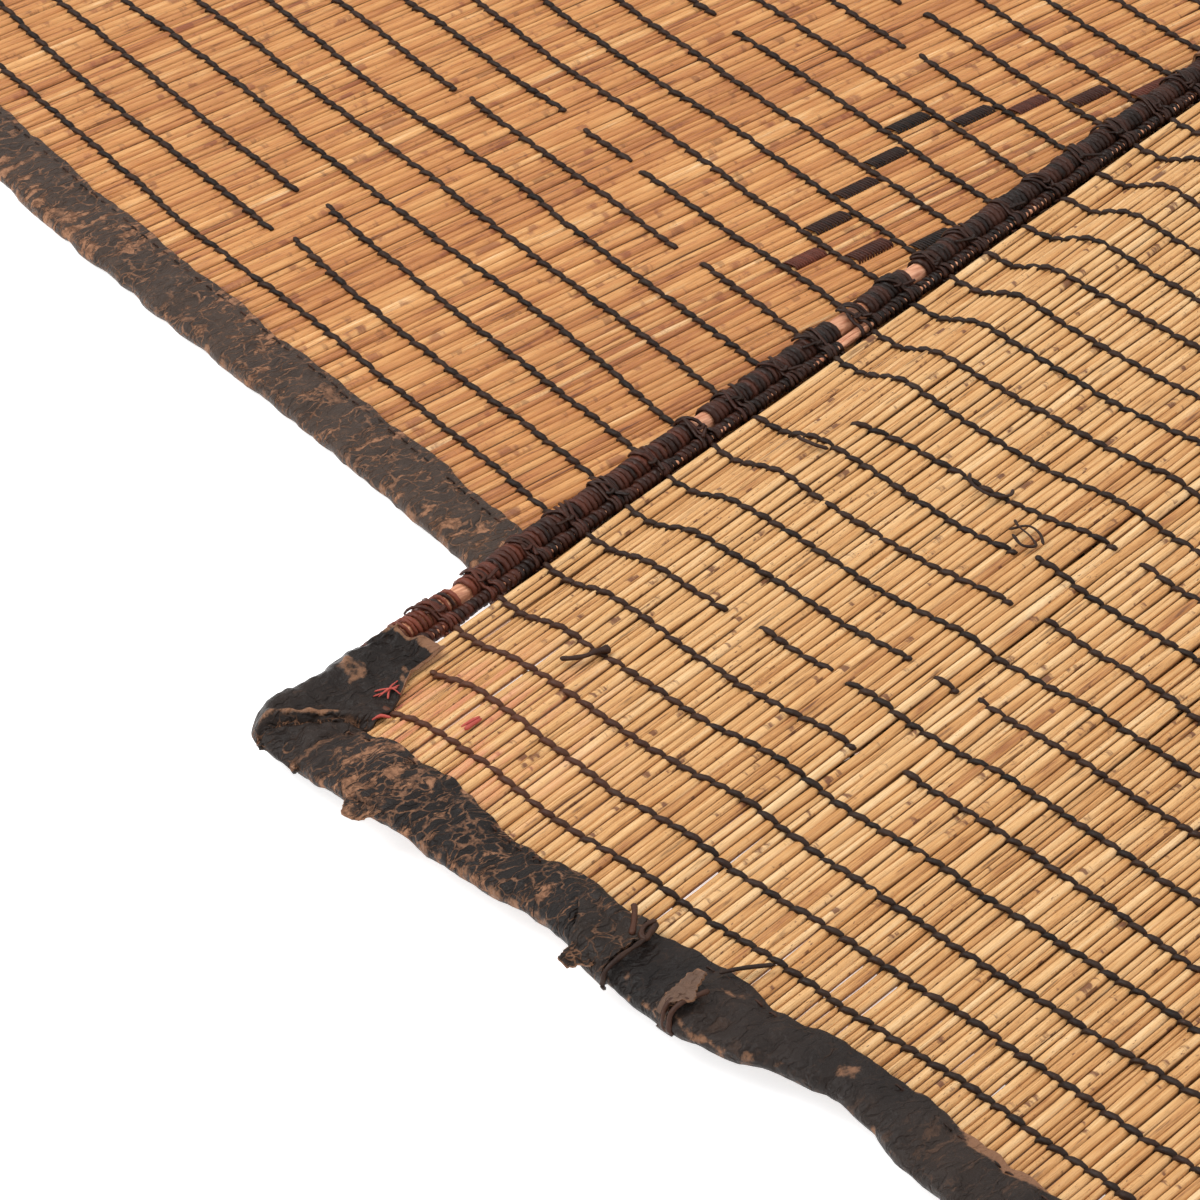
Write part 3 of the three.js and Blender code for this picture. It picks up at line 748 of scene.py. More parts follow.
class Bench:
    """Hand tools that every sub-assembly is made with."""

    @staticmethod
    def clear() -> None:
        """Leave nothing selected."""
        if bpy.context.object is not None and bpy.context.object.mode != "OBJECT":
            bpy.ops.object.mode_set(mode="OBJECT")
        bpy.ops.object.select_all(action="DESELECT")

    @staticmethod
    def take(name: str) -> bpy.types.Object:
        """Name the piece that was just added, and apply its place to its mesh."""
        piece = bpy.context.object
        piece.name = name
        piece.data.name = name
        bpy.ops.object.transform_apply(location=True, rotation=True, scale=True)
        return piece

    @staticmethod
    def work_on(piece: bpy.types.Object) -> None:
        """Select one piece and nothing else."""
        Bench.clear()
        piece.select_set(True)
        bpy.context.view_layer.objects.active = piece

    @staticmethod
    @contextmanager
    def editing(piece: bpy.types.Object) -> Iterator[None]:
        """Edit mode on one piece, with all of it selected."""
        Bench.work_on(piece)
        bpy.ops.object.mode_set(mode="EDIT")
        bpy.ops.mesh.select_all(action="SELECT")
        yield
        bpy.ops.object.mode_set(mode="OBJECT")

    @staticmethod
    def faces(piece: bpy.types.Object) -> tuple[np.ndarray, np.ndarray, np.ndarray]:
        """The point at each face corner, and each face's first corner and number of corners."""
        mesh = piece.data
        corners = np.empty(len(mesh.loops), dtype=np.int64)
        starts, totals = (np.empty(len(mesh.polygons), dtype=np.int64) for _ in range(2))
        mesh.loops.foreach_get("vertex_index", corners)
        mesh.polygons.foreach_get("loop_start", starts)
        mesh.polygons.foreach_get("loop_total", totals)
        return corners, starts, totals

    @staticmethod
    def points(piece: bpy.types.Object) -> np.ndarray:
        """The piece's points."""
        flat = np.empty(len(piece.data.vertices) * 3)
        piece.data.vertices.foreach_get("co", flat)
        return flat.reshape(-1, 3)

    @staticmethod
    def move(piece: bpy.types.Object, points: np.ndarray) -> None:
        """Lay the piece's points at new places."""
        piece.data.vertices.foreach_set("co", np.ascontiguousarray(points, dtype=float).ravel())
        piece.data.update()

    @staticmethod
    def apply(piece: bpy.types.Object, kind: str, **settings: object) -> None:
        """Put a modifier on a piece, set it and apply it."""
        Bench.work_on(piece)
        modifier = piece.modifiers.new(kind.lower(), kind)
        for key, value in settings.items():
            setattr(modifier, key, value)
        bpy.ops.object.modifier_apply(modifier=modifier.name)

    @staticmethod
    def rod_blank(name: str, sides: int, steps: int) -> bpy.types.Object:
        """A round blank along X, of radius one and length one, cut into steps along its length."""
        Bench.clear()
        bpy.ops.mesh.primitive_cylinder_add(
            vertices=sides, radius=1, depth=1, location=(0.5, 0, 0), rotation=(0, math.pi / 2, 0)
        )
        blank = Bench.take(name)
        with Bench.editing(blank):
            bpy.ops.mesh.select_all(action="DESELECT")
            bpy.ops.mesh.select_mode(type="EDGE")
            shape = bmesh.from_edit_mesh(blank.data)
            for edge in shape.edges:
                edge.select_set(abs(edge.verts[0].co.x - edge.verts[1].co.x) > 0.5)
            bmesh.update_edit_mesh(blank.data)
            bpy.ops.mesh.subdivide(number_cuts=steps - 1)
        return blank

    @staticmethod
    def sheet_blank(name: str, along: int, around: int) -> tuple[bpy.types.Object, np.ndarray, np.ndarray]:
        """A flat grid to lay leather with.

        Args:
            name: The piece's name.
            along: How many steps it has along.
            around: How many steps it has around.

        Returns:
            The piece, and each point's part of the way along and of the way around.
        """
        Bench.clear()
        bpy.ops.mesh.primitive_grid_add(
            x_subdivisions=along, y_subdivisions=around, size=1, location=(0.5, 0.5, 0)
        )
        blank = Bench.take(name)
        flat = Bench.points(blank)
        return blank, np.clip(flat[:, 0], 0, 1), np.clip(flat[:, 1], 0, 1)

    @staticmethod
    def copies(name: str, model: bpy.types.Object, laid: np.ndarray) -> bpy.types.Object:
        """Copies of a modelled piece joined in one mesh.

        Args:
            name: Name of the joined piece.
            model: What is copied. It is removed.
            laid: The model's points as they lie in each copy.

        Returns:
            The joined piece.
        """
        count, size = laid.shape[:2]
        corners, _, totals = Bench.faces(model)
        all_corners = (corners[None, :] + size * np.arange(count)[:, None]).ravel()
        piece = Bench.from_arrays(name, laid.reshape(-1, 3), all_corners, np.tile(totals, count))
        bpy.data.objects.remove(model)
        return piece

    @staticmethod
    def from_arrays(
        name: str, points: np.ndarray, corners: np.ndarray, totals: np.ndarray
    ) -> bpy.types.Object:
        """A piece from its points and its faces' corners."""
        mesh = bpy.data.meshes.new(name)
        mesh.vertices.add(len(points))
        mesh.vertices.foreach_set("co", np.ascontiguousarray(points, dtype=float).ravel())
        mesh.loops.add(len(corners))
        mesh.loops.foreach_set("vertex_index", corners)
        mesh.polygons.add(len(totals))
        mesh.polygons.foreach_set("loop_start", np.concatenate([[0], np.cumsum(totals)[:-1]]))
        mesh.polygons.foreach_set("loop_total", totals)
        mesh.update(calc_edges=True)
        piece = bpy.data.objects.new(name, mesh)
        bpy.context.scene.collection.objects.link(piece)
        return piece

    @staticmethod
    def smooth(piece: bpy.types.Object, angle: float | None = None) -> None:
        """Shade a piece smoothly, but for edges sharper than an angle if one is given."""
        Bench.work_on(piece)
        if angle is None:
            bpy.ops.object.shade_smooth()
        else:
            bpy.ops.object.shade_smooth_by_angle(angle=math.radians(angle))

    @staticmethod
    def outward(piece: bpy.types.Object) -> None:
        """Turn all the piece's faces outwards."""
        with Bench.editing(piece):
            bpy.ops.mesh.normals_make_consistent(inside=False)

    @staticmethod
    def flip(piece: bpy.types.Object) -> None:
        """Turn all the piece's faces the other way."""
        with Bench.editing(piece):
            bpy.ops.mesh.flip_normals()

    @staticmethod
    def tint(piece: bpy.types.Object, name: str, *channels: np.ndarray) -> None:
        """Keep up to three values for each point as a colour on the mesh."""
        count = len(piece.data.vertices)
        colours = np.zeros((count, 4), dtype=np.float32)
        colours[:, 3] = 1
        for index, channel in enumerate(channels):
            colours[:, index] = np.broadcast_to(channel, (count,))
        kept = piece.data.color_attributes.new(name, "FLOAT_COLOR", "POINT")
        kept.data.foreach_set("color", colours.ravel())

    @staticmethod
    def dress(piece: bpy.types.Object, material: bpy.types.Material, slot: str, *nodes: str) -> None:
        """Give a piece its finish, let it ride, and hide the solids that it stands for."""
        piece.data.materials.clear()
        piece.data.materials.append(material)
        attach(piece, BODY)
        if nodes:
            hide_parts(*nodes)
        LOG.info("%s: %d faces", piece.name, len(piece.data.polygons))


@dataclass
class ThongBatch:
    """Many thongs swept along their paths and kept in one mesh."""

    half_width: float
    half_thickness: float
    sides: int = 5
    points: list[np.ndarray] = field(default_factory=list)
    corners: list[np.ndarray] = field(default_factory=list)
    totals: list[np.ndarray] = field(default_factory=list)
    tones: list[np.ndarray] = field(default_factory=list)
    browns: list[np.ndarray] = field(default_factory=list)
    count: int = 0

    def sweep(
        self, path: np.ndarray, up: np.ndarray, tone: object = 0.5, brown: object = 0.0, size: object = 1.0
    ) -> None:
        """Add one thong.

        Args:
            path: Points along its middle.
            up: Direction of its thickness, one for all points or one for each.
            tone: How light it is, one value or one for each point.
            brown: How brown it is, one value or one for each point.
            size: Its size beside the batch's own, one value or one for each point.
        """
        steps = len(path)
        forward = unit(np.gradient(path, axis=0))
        aside = unit(np.cross(np.broadcast_to(up, path.shape), forward))
        over = np.cross(forward, aside)
        angle = FULL_TURN * np.arange(self.sides) / self.sides
        scale = np.broadcast_to(size, (steps,))[:, None, None]
        ring = (
            aside[:, None, :] * (self.half_width * np.cos(angle))[None, :, None]
            + over[:, None, :] * (self.half_thickness * np.sin(angle))[None, :, None]
        )
        self.points.append((path[:, None, :] + ring * scale).reshape(-1, 3))
        first = np.arange(self.sides)
        following = (first + 1) % self.sides
        quad = np.stack([first, following, following + self.sides, first + self.sides], 1)
        quads = (quad[None] + self.sides * np.arange(steps - 1)[:, None, None]).reshape(-1)
        head = first + self.sides * (steps - 1)
        self.corners.append(np.concatenate([quads, first[::-1], head]) + self.count)
        self.totals.append(np.concatenate([np.full((steps - 1) * self.sides, 4), [self.sides, self.sides]]))
        self.tones.append(np.repeat(np.broadcast_to(tone, (steps,)), self.sides))
        self.browns.append(np.repeat(np.broadcast_to(brown, (steps,)), self.sides))
        self.count += steps * self.sides

    def make(self, name: str) -> bpy.types.Object:
        """The batch as one piece."""
        piece = Bench.from_arrays(
            name, np.concatenate(self.points), np.concatenate(self.corners), np.concatenate(self.totals)
        )
        Bench.tint(piece, "tone", np.concatenate(self.tones), np.concatenate(self.browns))
        Bench.smooth(piece)
        return piece


@dataclass
class ReedField:
    """The reeds, laid side by side along the mat."""

    lie: MatLie
    lower_pitch: float = 0.00365
    flap_pitch: float = 0.0035
    uneven: float = 0.34
    end_gap: float = 0.0004
    inset: float = 0.0062
    sides: int = 8
    steps: int = 14
    wobble: float = 0.00026
    taper: float = 0.05
    swell: float = 0.035
    thinned: float = 0.3
    unlevel: float = 0.00014
    overlap: float = 0.0003
    tone_spread: float = 0.13
    number_shift: float = 0.05
    seed: int = 11
    places: np.ndarray = field(init=False)
    widths: np.ndarray = field(init=False)

    def __post_init__(self) -> None:
        """Choose each reed's width and place."""
        rng = np.random.default_rng(self.seed)
        widths, places = [], []
        edge = self.end_gap
        while True:
            pitch = self.lower_pitch if edge < self.lie.fold else self.flap_pitch
            width = pitch * (1 + self.uneven * float(rng.uniform(-1, 1)))
            if edge + width > self.lie.length - self.end_gap:
                break
            widths.append(width)
            places.append(edge + width / 2)
            edge += width
        self.widths = np.array(widths)
        self.places = np.array(places)

    def gap(self, index: np.ndarray) -> np.ndarray:
        """The distance of a place that is counted in reeds, whole numbers being gaps between them."""
        edges = np.concatenate([self.places - self.widths / 2, [self.places[-1] + self.widths[-1] / 2]])
        return np.interp(index, np.arange(len(edges)), edges)

    def build(self) -> bpy.types.Object:
        """All the reeds as one piece."""
        rng = np.random.default_rng(self.seed + 1)
        blank = Bench.rod_blank("reed", self.sides, self.steps)
        shape = Bench.points(blank)
        part, angle = shape[:, 0], np.arctan2(shape[:, 2], shape[:, 1])
        count = len(self.places)
        place = self.places[:, None]
        on_flap = between(self.lie.fold - 0.02, self.lie.fold + 0.02, place)
        start = self.inset + self.lie.edge_and_seam(self.places)[0][:, None]
        across = start + (self.lie.width - self.inset - start) * part[None, :]
        number = np.arange(count)[:, None] * self.number_shift
        girth = self._girth(rng, place, across, number, part)
        from_end = self.lie.length - place
        loose = rng.uniform(0, 1, (count, 1)) ** 3 * (0.2 + 0.8 * between(0.16, 0.06, from_end))
        wide = self.widths[:, None] * (0.5 - 0.014 * on_flap - 0.05 * on_flap * loose) * girth
        deep = (0.4 * self.widths[:, None] + self.overlap) * (0.86 + 0.14 * on_flap) * girth
        aside = self.wobble * ripple(across, number, 0.05, 5) * (1 + 0.35 * on_flap)
        lift = self.wobble * ripple(across, number, 0.07, 7) * (0.9 + 0.6 * on_flap)
        lift = lift + rng.normal(0, self.unlevel, (count, 1))
        off_line = place + aside + wide * np.cos(angle)[None, :]
        laid = self.lie.point(off_line, across, lift + deep * np.sin(angle)[None, :])
        corners, starts, totals = Bench.faces(blank)
        around = self._unrolled(angle, corners, starts, totals)
        piece = Bench.copies("reeds", blank, laid)
        map_u = np.tile(part[corners] * self.lie.width, count)
        map_v = (around[None, :] * REED_HALF + number).ravel()
        chart = piece.data.uv_layers.new(name="lay")
        chart.data.foreach_set("uv", np.stack([map_u, map_v], 1).astype(np.float32).ravel())
        tone = np.repeat(np.clip(rng.normal(0.5, self.tone_spread, count), 0, 1), len(part))
        back = np.tile(between(0.35, -0.35, np.sin(angle)), count)
        # The third channel, the reach round each reed from its sides, places the painted shade between reeds.
        Bench.tint(piece, "reed", tone, back, np.tile(np.abs(np.sin(angle)), count))
        Bench.smooth(piece)
        return piece

    def _girth(
        self,
        rng: np.random.Generator,
        place: np.ndarray,
        across: np.ndarray,
        number: np.ndarray,
        part: np.ndarray,
    ) -> np.ndarray:
        """How thick each reed is along its length, beside its own size.

        Args:
            rng: Source of the reeds' differences.
            place: Each reed's place along the mat.
            across: How far across the mat each of its points is.
            number: Each reed's place in the patterns of unevenness.
            part: How far along the reed each point is.

        Returns:
            One share for each point of each reed.
        """
        count = len(place)
        taper = 1 + rng.uniform(-self.taper, self.taper, (count, 1)) * (part[None, :] - 0.5) * 2
        swell = 1 + self.swell * ripple(across, number, 0.09, 3)
        near_end = between(0.05, 0.012, self.lie.length - place)
        near_corner = between(0.05, 0.08, across) * between(0.17, 0.13, across)
        thin = 1 - self.thinned * near_end * near_corner * rng.uniform(0.2, 1, (count, 1))
        return taper * swell * thin

    @staticmethod
    def _unrolled(
        angle: np.ndarray, corners: np.ndarray, starts: np.ndarray, totals: np.ndarray
    ) -> np.ndarray:
        """The angle at each face corner, carried on where a face crosses the join."""
        around = angle[corners].copy()
        for start, total in zip(starts, totals):
            ring = around[start : start + total]
            if ring.max() - ring.min() > math.pi and total == 4:
                ring[ring < 0] += FULL_TURN
        return around


@dataclass(frozen=True)
class LacingBreak:
    """A place where a lacing row stops and starts again, with how far it strays before and after."""

    row: int
    start: float
    stop: float
    before: float = 0.0
    after: float = 0.0


LACING_BREAKS = (
    LacingBreak(1, 0.272, 0.276, 0.0, 0.0039),
    LacingBreak(2, 0.254, 0.266, 0.0, 0.0038),
    LacingBreak(6, 0.236, 0.240, 0.0, 0.0012),
    LacingBreak(6, 0.386, 0.394, -0.0008, 0.0012),
    LacingBreak(7, 0.278, 0.289, 0.003, -0.001),
    LacingBreak(7, 0.323, 0.327, 0.0, -0.001),
    LacingBreak(11, 0.258, 0.270, 0.0017, -0.0003),
    LacingBreak(13, 0.330, 0.335, 0.0, 0.001),
    LacingBreak(14, 0.305, 0.313, -0.0037, 0.0003),
    LacingBreak(4, 1.396, 1.408, 0.0056, 0.0),
    LacingBreak(5, 1.438, 1.444, -0.0006, 0.0014),
    LacingBreak(5, 1.484, 1.493, 0.0034, 0.0),
    LacingBreak(6, 1.398, 1.404, 0.0052, 0.0012),
    LacingBreak(6, 1.419, 1.425),
    LacingBreak(8, 1.408, 1.418, 0.0047, 0.0),
    LacingBreak(9, 1.431, 1.435, 0.0024, 0.0004),
    LacingBreak(10, 1.404, 1.409, 0.0061, 0.0041),
    LacingBreak(10, 1.532, 1.6, -0.0079),
)

STITCH_PLACES = (-0.88, -0.36, 0.36, 0.88)
STITCH_RISES = (0.72, 1.0, 1.0, 0.72)
STITCH_SWINGS = (-0.6, -0.3, 0.3, 0.6)
STITCH_SIZES = (0.8, 1.03, 1.03, 0.8)


@dataclass
class Lacing:
    """Pairs of thongs twined over and under the reeds, two at a time."""

    lie: MatLie
    reeds: ReedField
    half_width: float = 0.00142
    half_thickness: float = 0.0010
    bite: float = 0.0022
    swing: float = 0.0010
    wander: float = 0.0011
    under_cap: float = 0.0115
    break_fade: float = 0.03
    row_shift: float = 0.4
    rows_a_piece: int = 8
    seed: int = 23

    def place(self, row: int, distance: np.ndarray) -> np.ndarray:
        """Where a row runs across the mat, at each distance along it."""
        number = row * self.row_shift
        drift = self.wander * (ripple(distance, number, 0.16, 31) + 0.35 * ripple(distance, number, 0.03, 37))
        for gap in (gap for gap in LACING_BREAKS if gap.row == row):
            is_before = distance < (gap.start + gap.stop) / 2
            near = np.exp(-np.abs(distance - np.where(is_before, gap.start, gap.stop)) / self.break_fade)
            stray = np.where(is_before, gap.before, gap.after)
            drift = drift * (1 - near) + stray * near
        return row_place(row) + drift

    def stretches(self, row: int) -> list[tuple[float, float]]:
        """The unbroken stretches of a row, counted in reeds."""
        place = row_place(row)
        inset = self.under_cap if place < CAP_LENGTH or place > self.lie.width - CAP_LENGTH else 0
        cuts = sorted((gap for gap in LACING_BREAKS if gap.row == row), key=lambda gap: gap.start)
        places = [inset, *(end for gap in cuts for end in (gap.start, gap.stop)), self.lie.length - inset]
        index = np.arange(len(self.reeds.places) + 1)
        edges = np.interp(places, self.reeds.gap(index), index).tolist()
        return [(first, last) for first, last in zip(edges[0::2], edges[1::2]) if last - first > 2]

    def build(self) -> list[bpy.types.Object]:
        """The rows in a few pieces."""
        rng = np.random.default_rng(self.seed)
        pieces = []
        for first in range(0, ROW_COUNT, self.rows_a_piece):
            batch = ThongBatch(self.half_width, self.half_thickness)
            for row in range(first, first + self.rows_a_piece):
                offset = int(rng.integers(0, 2))
                for start, stop in self.stretches(row):
                    for strand in range(2):
                        self._strand(batch, rng, row, offset + 2 * strand, math.ceil(start), math.floor(stop))
            pieces.append(batch.make(f"lacing_{first // self.rows_a_piece + 1}"))
        return pieces

    def _strand(
        self, batch: ThongBatch, rng: np.random.Generator, row: int, offset: int, start: int, stop: int
    ) -> None:
        """One thong of a pair, over two reeds and under two, in turn.

        Args:
            batch: Takes the thong.
            rng: Source of the thong's colour.
            row: Number of its row.
            offset: How many reeds its turns are shifted by.
            start: The gap between reeds that it starts in.
            stop: The gap that it ends in.
        """
        stitch = np.arange(math.floor((start + offset) / 2), math.ceil((stop + offset) / 2) + 1)
        over = np.where(stitch % 2 == 0, 1, -1)[:, None]
        index = (2 * stitch[:, None] + 1 + np.array(STITCH_PLACES)[None, :] - offset).ravel()
        rise = (over * np.array(STITCH_RISES)[None, :]).ravel()
        phase = (over * np.array(STITCH_SWINGS)[None, :]).ravel()
        girth = np.tile(STITCH_SIZES, len(stitch))
        kept = (index > start + 0.1) & (index < stop - 0.1)
        index = np.concatenate([[start], index[kept], [stop]])
        rise, phase, girth = (np.pad(values[kept], 1, mode="edge") for values in (rise, phase, girth))
        distance = self.reeds.gap(index)
        lift = self.bite * rise
        number = row * self.row_shift
        swing = self.swing * phase * (1 + 0.25 * ripple(distance, number, 0.02, 41))
        across = self.place(row, distance) + swing
        path = self.lie.point(distance, across, lift)
        aside = self.lie.point(distance, across + 0.001, lift) - path
        size = girth * (1 + 0.1 * ripple(distance, number + offset, 0.018, 43))
        size[[0, -1]] *= 0.6
        near_corner = between(0.16, 0.05, self.lie.length - distance) * between(0.16, 0.06, row_place(row))
        tone = np.clip(0.5 + 0.3 * ripple(distance, number + offset, 0.03, 47), 0, 1)
        brown = np.clip(0.5 * near_corner + 0.12 * rng.uniform(0, 1), 0, 1)
        batch.sweep(path, unit(np.cross(np.gradient(path, axis=0), aside)), tone, brown, size)


@dataclass(frozen=True)
class Stretch:
    """A length along a rod, from and to so far from its near corner."""

    start: float
    stop: float


@dataclass
class RodPair:
    """The rod and the thinner bundle at one end, wound with thong."""

    lie: MatLie
    end: End
    rod_wraps: tuple[Stretch, ...]
    bundle_wraps: tuple[Stretch, ...]
    steps: int
    turn_pitch: float = 0.00255
    thong_half: float = 0.00128
    thong_deep: float = 0.00098
    swell: float = 0.0012
    bundle_swell: float = -0.0002
    inset: float = 0.004
    narrow_chance: float = 0.24
    narrow: float = 0.45
    slip: float = 0.00026
    slant: float = 0.0003
    press: float = 0.00025
    stick_count: int = 3
    knot_threads: int = 4
    seed: int = 51

    def build_coils(self) -> bpy.types.Object:
        """All the winding of both rods as one piece."""
        rng = np.random.default_rng(self.seed + self.end.value)
        coils = []
        # The bundle's lower shade is painted shade: its winding is darkened for the rod's shadow.
        for out, radius, wraps, shade in (
            (ROD_OUT, ROD_RADIUS + self.swell, self.rod_wraps, 1.0),
            (BUNDLE_OUT, BUNDLE_RADIUS + self.bundle_swell, self.bundle_wraps, 0.55),
        ):
            line = RodLine.of(self.end, out)
            for wrap in wraps:
                coils.append(self._coil(line, radius, wrap, shade, rng))
        Bench.clear()
        for coil in coils:
            coil.select_set(True)
        bpy.context.view_layer.objects.active = coils[0]
        bpy.ops.object.join()
        piece = Bench.take(f"{self.end.name.lower()}_winding")
        Bench.smooth(piece)
        return piece

    def _coil(
        self, line: RodLine, radius: float, wrap: Stretch, shade: float, rng: np.random.Generator
    ) -> bpy.types.Object:
        """One length of thong wound round a rod.

        Args:
            line: The rod's line.
            radius: How far out the winding reaches.
            wrap: Where it starts and stops.
            shade: How light it is beside the rod's own winding. Below one it is painted shade: the bundle's
                winding is made darker and less brown for the rod's shadow on it.
            rng: Source of its unevenness.

        Returns:
            The winding as one piece.
        """
        turns = max(3, round((wrap.stop - wrap.start) / self.turn_pitch))
        pitch = (wrap.stop - wrap.start) / turns
        middle = radius - self.thong_deep
        Bench.clear()
        bpy.ops.mesh.primitive_circle_add(
            vertices=6, radius=self.thong_half, location=(middle, 0, wrap.start), rotation=(math.pi / 2, 0, 0)
        )
        coil = Bench.take("coil")
        section = Bench.points(coil)
        section[:, 0] = middle + (section[:, 0] - middle) * self.thong_deep / self.thong_half
        Bench.move(coil, section)
        Bench.apply(
            coil, "SCREW", angle=FULL_TURN, screw_offset=pitch, iterations=turns,
            steps=self.steps, render_steps=self.steps, axis="Z", use_merge_vertices=False,
        )
        with Bench.editing(coil):
            bpy.ops.mesh.select_all(action="DESELECT")
            bpy.ops.mesh.select_mode(type="EDGE")
            bpy.ops.mesh.select_non_manifold(extend=False)
            bpy.ops.mesh.edge_face_add()
            bpy.ops.mesh.select_all(action="SELECT")
            bpy.ops.mesh.normals_make_consistent(inside=False)
        points = Bench.points(coil)
        bearing = np.arctan2(points[:, 1], points[:, 0])
        turn = np.floor((points[:, 2] - wrap.start) / pitch - bearing / FULL_TURN + 0.5)
        run = turn + bearing / FULL_TURN
        middle = wrap.start + pitch * run
        numbers = np.arange(int(run.max()) + 3)
        count = len(numbers)
        slip = np.interp(run, numbers, rng.normal(0, self.slip, count))
        slant = np.interp(run, numbers, rng.normal(self.slant, 0.0004, count))
        whole = np.floor(run + 0.5).astype(int)
        is_narrow = rng.uniform(0, 1, count) < self.narrow_chance * shade**2
        wide = np.where(is_narrow, self.narrow, rng.uniform(0.8, 1.02, count))[whole]
        press = np.interp(run, numbers, rng.normal(0, self.press, count))
        light = rng.uniform(0, 1, count)[whole]
        points[:, 2] = middle + (points[:, 2] - middle) * wide + slip + slant * np.sin(bearing + 0.6)
        reach = np.hypot(points[:, 0], points[:, 1])
        dent = press + 0.0002 * ripple(points[:, 2], bearing * 0.004, 0.02, 5)
        points[:, :2] *= (1 + dent / reach)[:, None]
        # Brown and tone are scaled by shade: painted shade on the bundle's winding.
        brown = self._brown(points[:, 2]) * (0.15 + 1.5 * light**1.5) * shade
        Bench.move(coil, kept_above(line.lay(points), LEATHER_FLOOR))
        Bench.tint(coil, "tone", light * shade, np.clip(brown, 0, 1))
        return coil

    def _brown(self, along: np.ndarray) -> np.ndarray:
        """How brown the thong is along the rod: reddish near the near corner, then nearly black."""
        return 0.12 + 0.62 * between(0.16, 0.06, along) + 0.16 * between(0.33, 0.2, along)

    def build_cores(self) -> bpy.types.Object:
        """The bare rod, and the sticks of the bundle, as one piece."""
        rod_line, bundle_line = RodLine.of(self.end, ROD_OUT), RodLine.of(self.end, BUNDLE_OUT)
        sticks = [(rod_line, ROD_RADIUS - THONG + self.swell * 0.5, 0.0, 0.0)]
        ring = BUNDLE_RADIUS - THONG
        for number in range(self.stick_count):
            bearing = FULL_TURN * number / self.stick_count + 0.4
            away = ring * 0.55
            sticks.append((bundle_line, ring * 0.5, away * math.cos(bearing), away * math.sin(bearing)))
        laid = []
        blank = Bench.rod_blank("stick", 12, 60)
        shape = Bench.points(blank)
        for number, (line, radius, out, up) in enumerate(sticks):
            along = self.inset + shape[:, 0] * (line.length - 2 * self.inset)
            swell = radius * (1 + 0.03 * ripple(along, number, 0.06, 61))
            bow = 0.0002 * ripple(along, number + 0.5, 0.12, 67)
            local = np.stack([out + bow + shape[:, 1] * swell, up + shape[:, 2] * swell, along], 1)
            laid.append(line.lay(local))
        piece = Bench.copies(f"{self.end.name.lower()}_rods", blank, np.array(laid))
        Bench.outward(piece)
        Bench.smooth(piece, 50)
        return piece

    def build_knots(self, lacing: Lacing) -> bpy.types.Object:
        """Thongs that cross from the rod to the bundle at each lacing row."""
        rng = np.random.default_rng(self.seed + 7)
        batch = ThongBatch(0.0009, 0.00055)
        line = RodLine.of(self.end, ROD_OUT)
        distance = self.lie.length if self.end is End.FLAP else 0.0
        for row in range(ROW_COUNT):
            middle = float(lacing.place(row, np.array(distance)))
            if middle < CAP_LENGTH or middle > self.lie.width - CAP_LENGTH:
                continue
            brown = 0.9 * float(self._brown(np.array(middle)))
            for face in Face:
                for _ in range(self.knot_threads):
                    lean = rng.choice((-1, 1)) * rng.uniform(0.4, 1.3)
                    at = middle + rng.normal(0, 0.0018)
                    self._crossing(batch, line, rng, at, face.value, lean, brown * rng.uniform(0.2, 1))
                self._lump(batch, line, rng, middle, face.value, brown * rng.uniform(0.1, 0.8))
        return batch.make(f"{self.end.name.lower()}_knots")

    def _crossing(
        self, batch: ThongBatch, line: RodLine, rng: np.random.Generator,
        middle: float, face: int, lean: float, brown: float,
    ) -> None:
        """One thong over both rods, leaning one way.

        Args:
            batch: Takes the thong.
            line: The rod's line.
            rng: Source of its unevenness.
            middle: Where along the rod it crosses.
            face: Which face it crosses on.
            lean: How far it leans, and which way.
            brown: How brown it is.
        """
        spacing = ROD_OUT - BUNDLE_OUT
        rod_reach = ROD_RADIUS + self.swell + rng.uniform(0.0002, 0.0009)
        bundle_reach = BUNDLE_RADIUS + self.bundle_swell + rng.uniform(0.0002, 0.0008)
        bearing = np.radians(np.linspace(rng.uniform(5, 60), 165, 9))
        over_rod = np.stack([rod_reach * np.cos(bearing), rod_reach * np.sin(bearing)], 1)[:6]
        bearing = np.radians(np.linspace(15, 175, 8))
        over_bundle = np.stack([bundle_reach * np.cos(bearing) - spacing, bundle_reach * np.sin(bearing)], 1)
        over_bundle = over_bundle[2:]
        arc = np.concatenate([over_rod, over_bundle])
        part = np.linspace(-1, 1, len(arc))
        along = middle + lean * 0.0026 * part + 0.0006 * np.sin(3 * part + lean)
        local = np.stack([arc[:, 0], face * arc[:, 1], along], 1)
        up = unit(line.lay(local * np.array([1, 1.4, 1])) - line.lay(local * np.array([1, 0.4, 1])))
        path = kept_above(line.lay(local), KNOT_FLOOR)
        batch.sweep(path, up, rng.uniform(0.1, 0.9), brown)

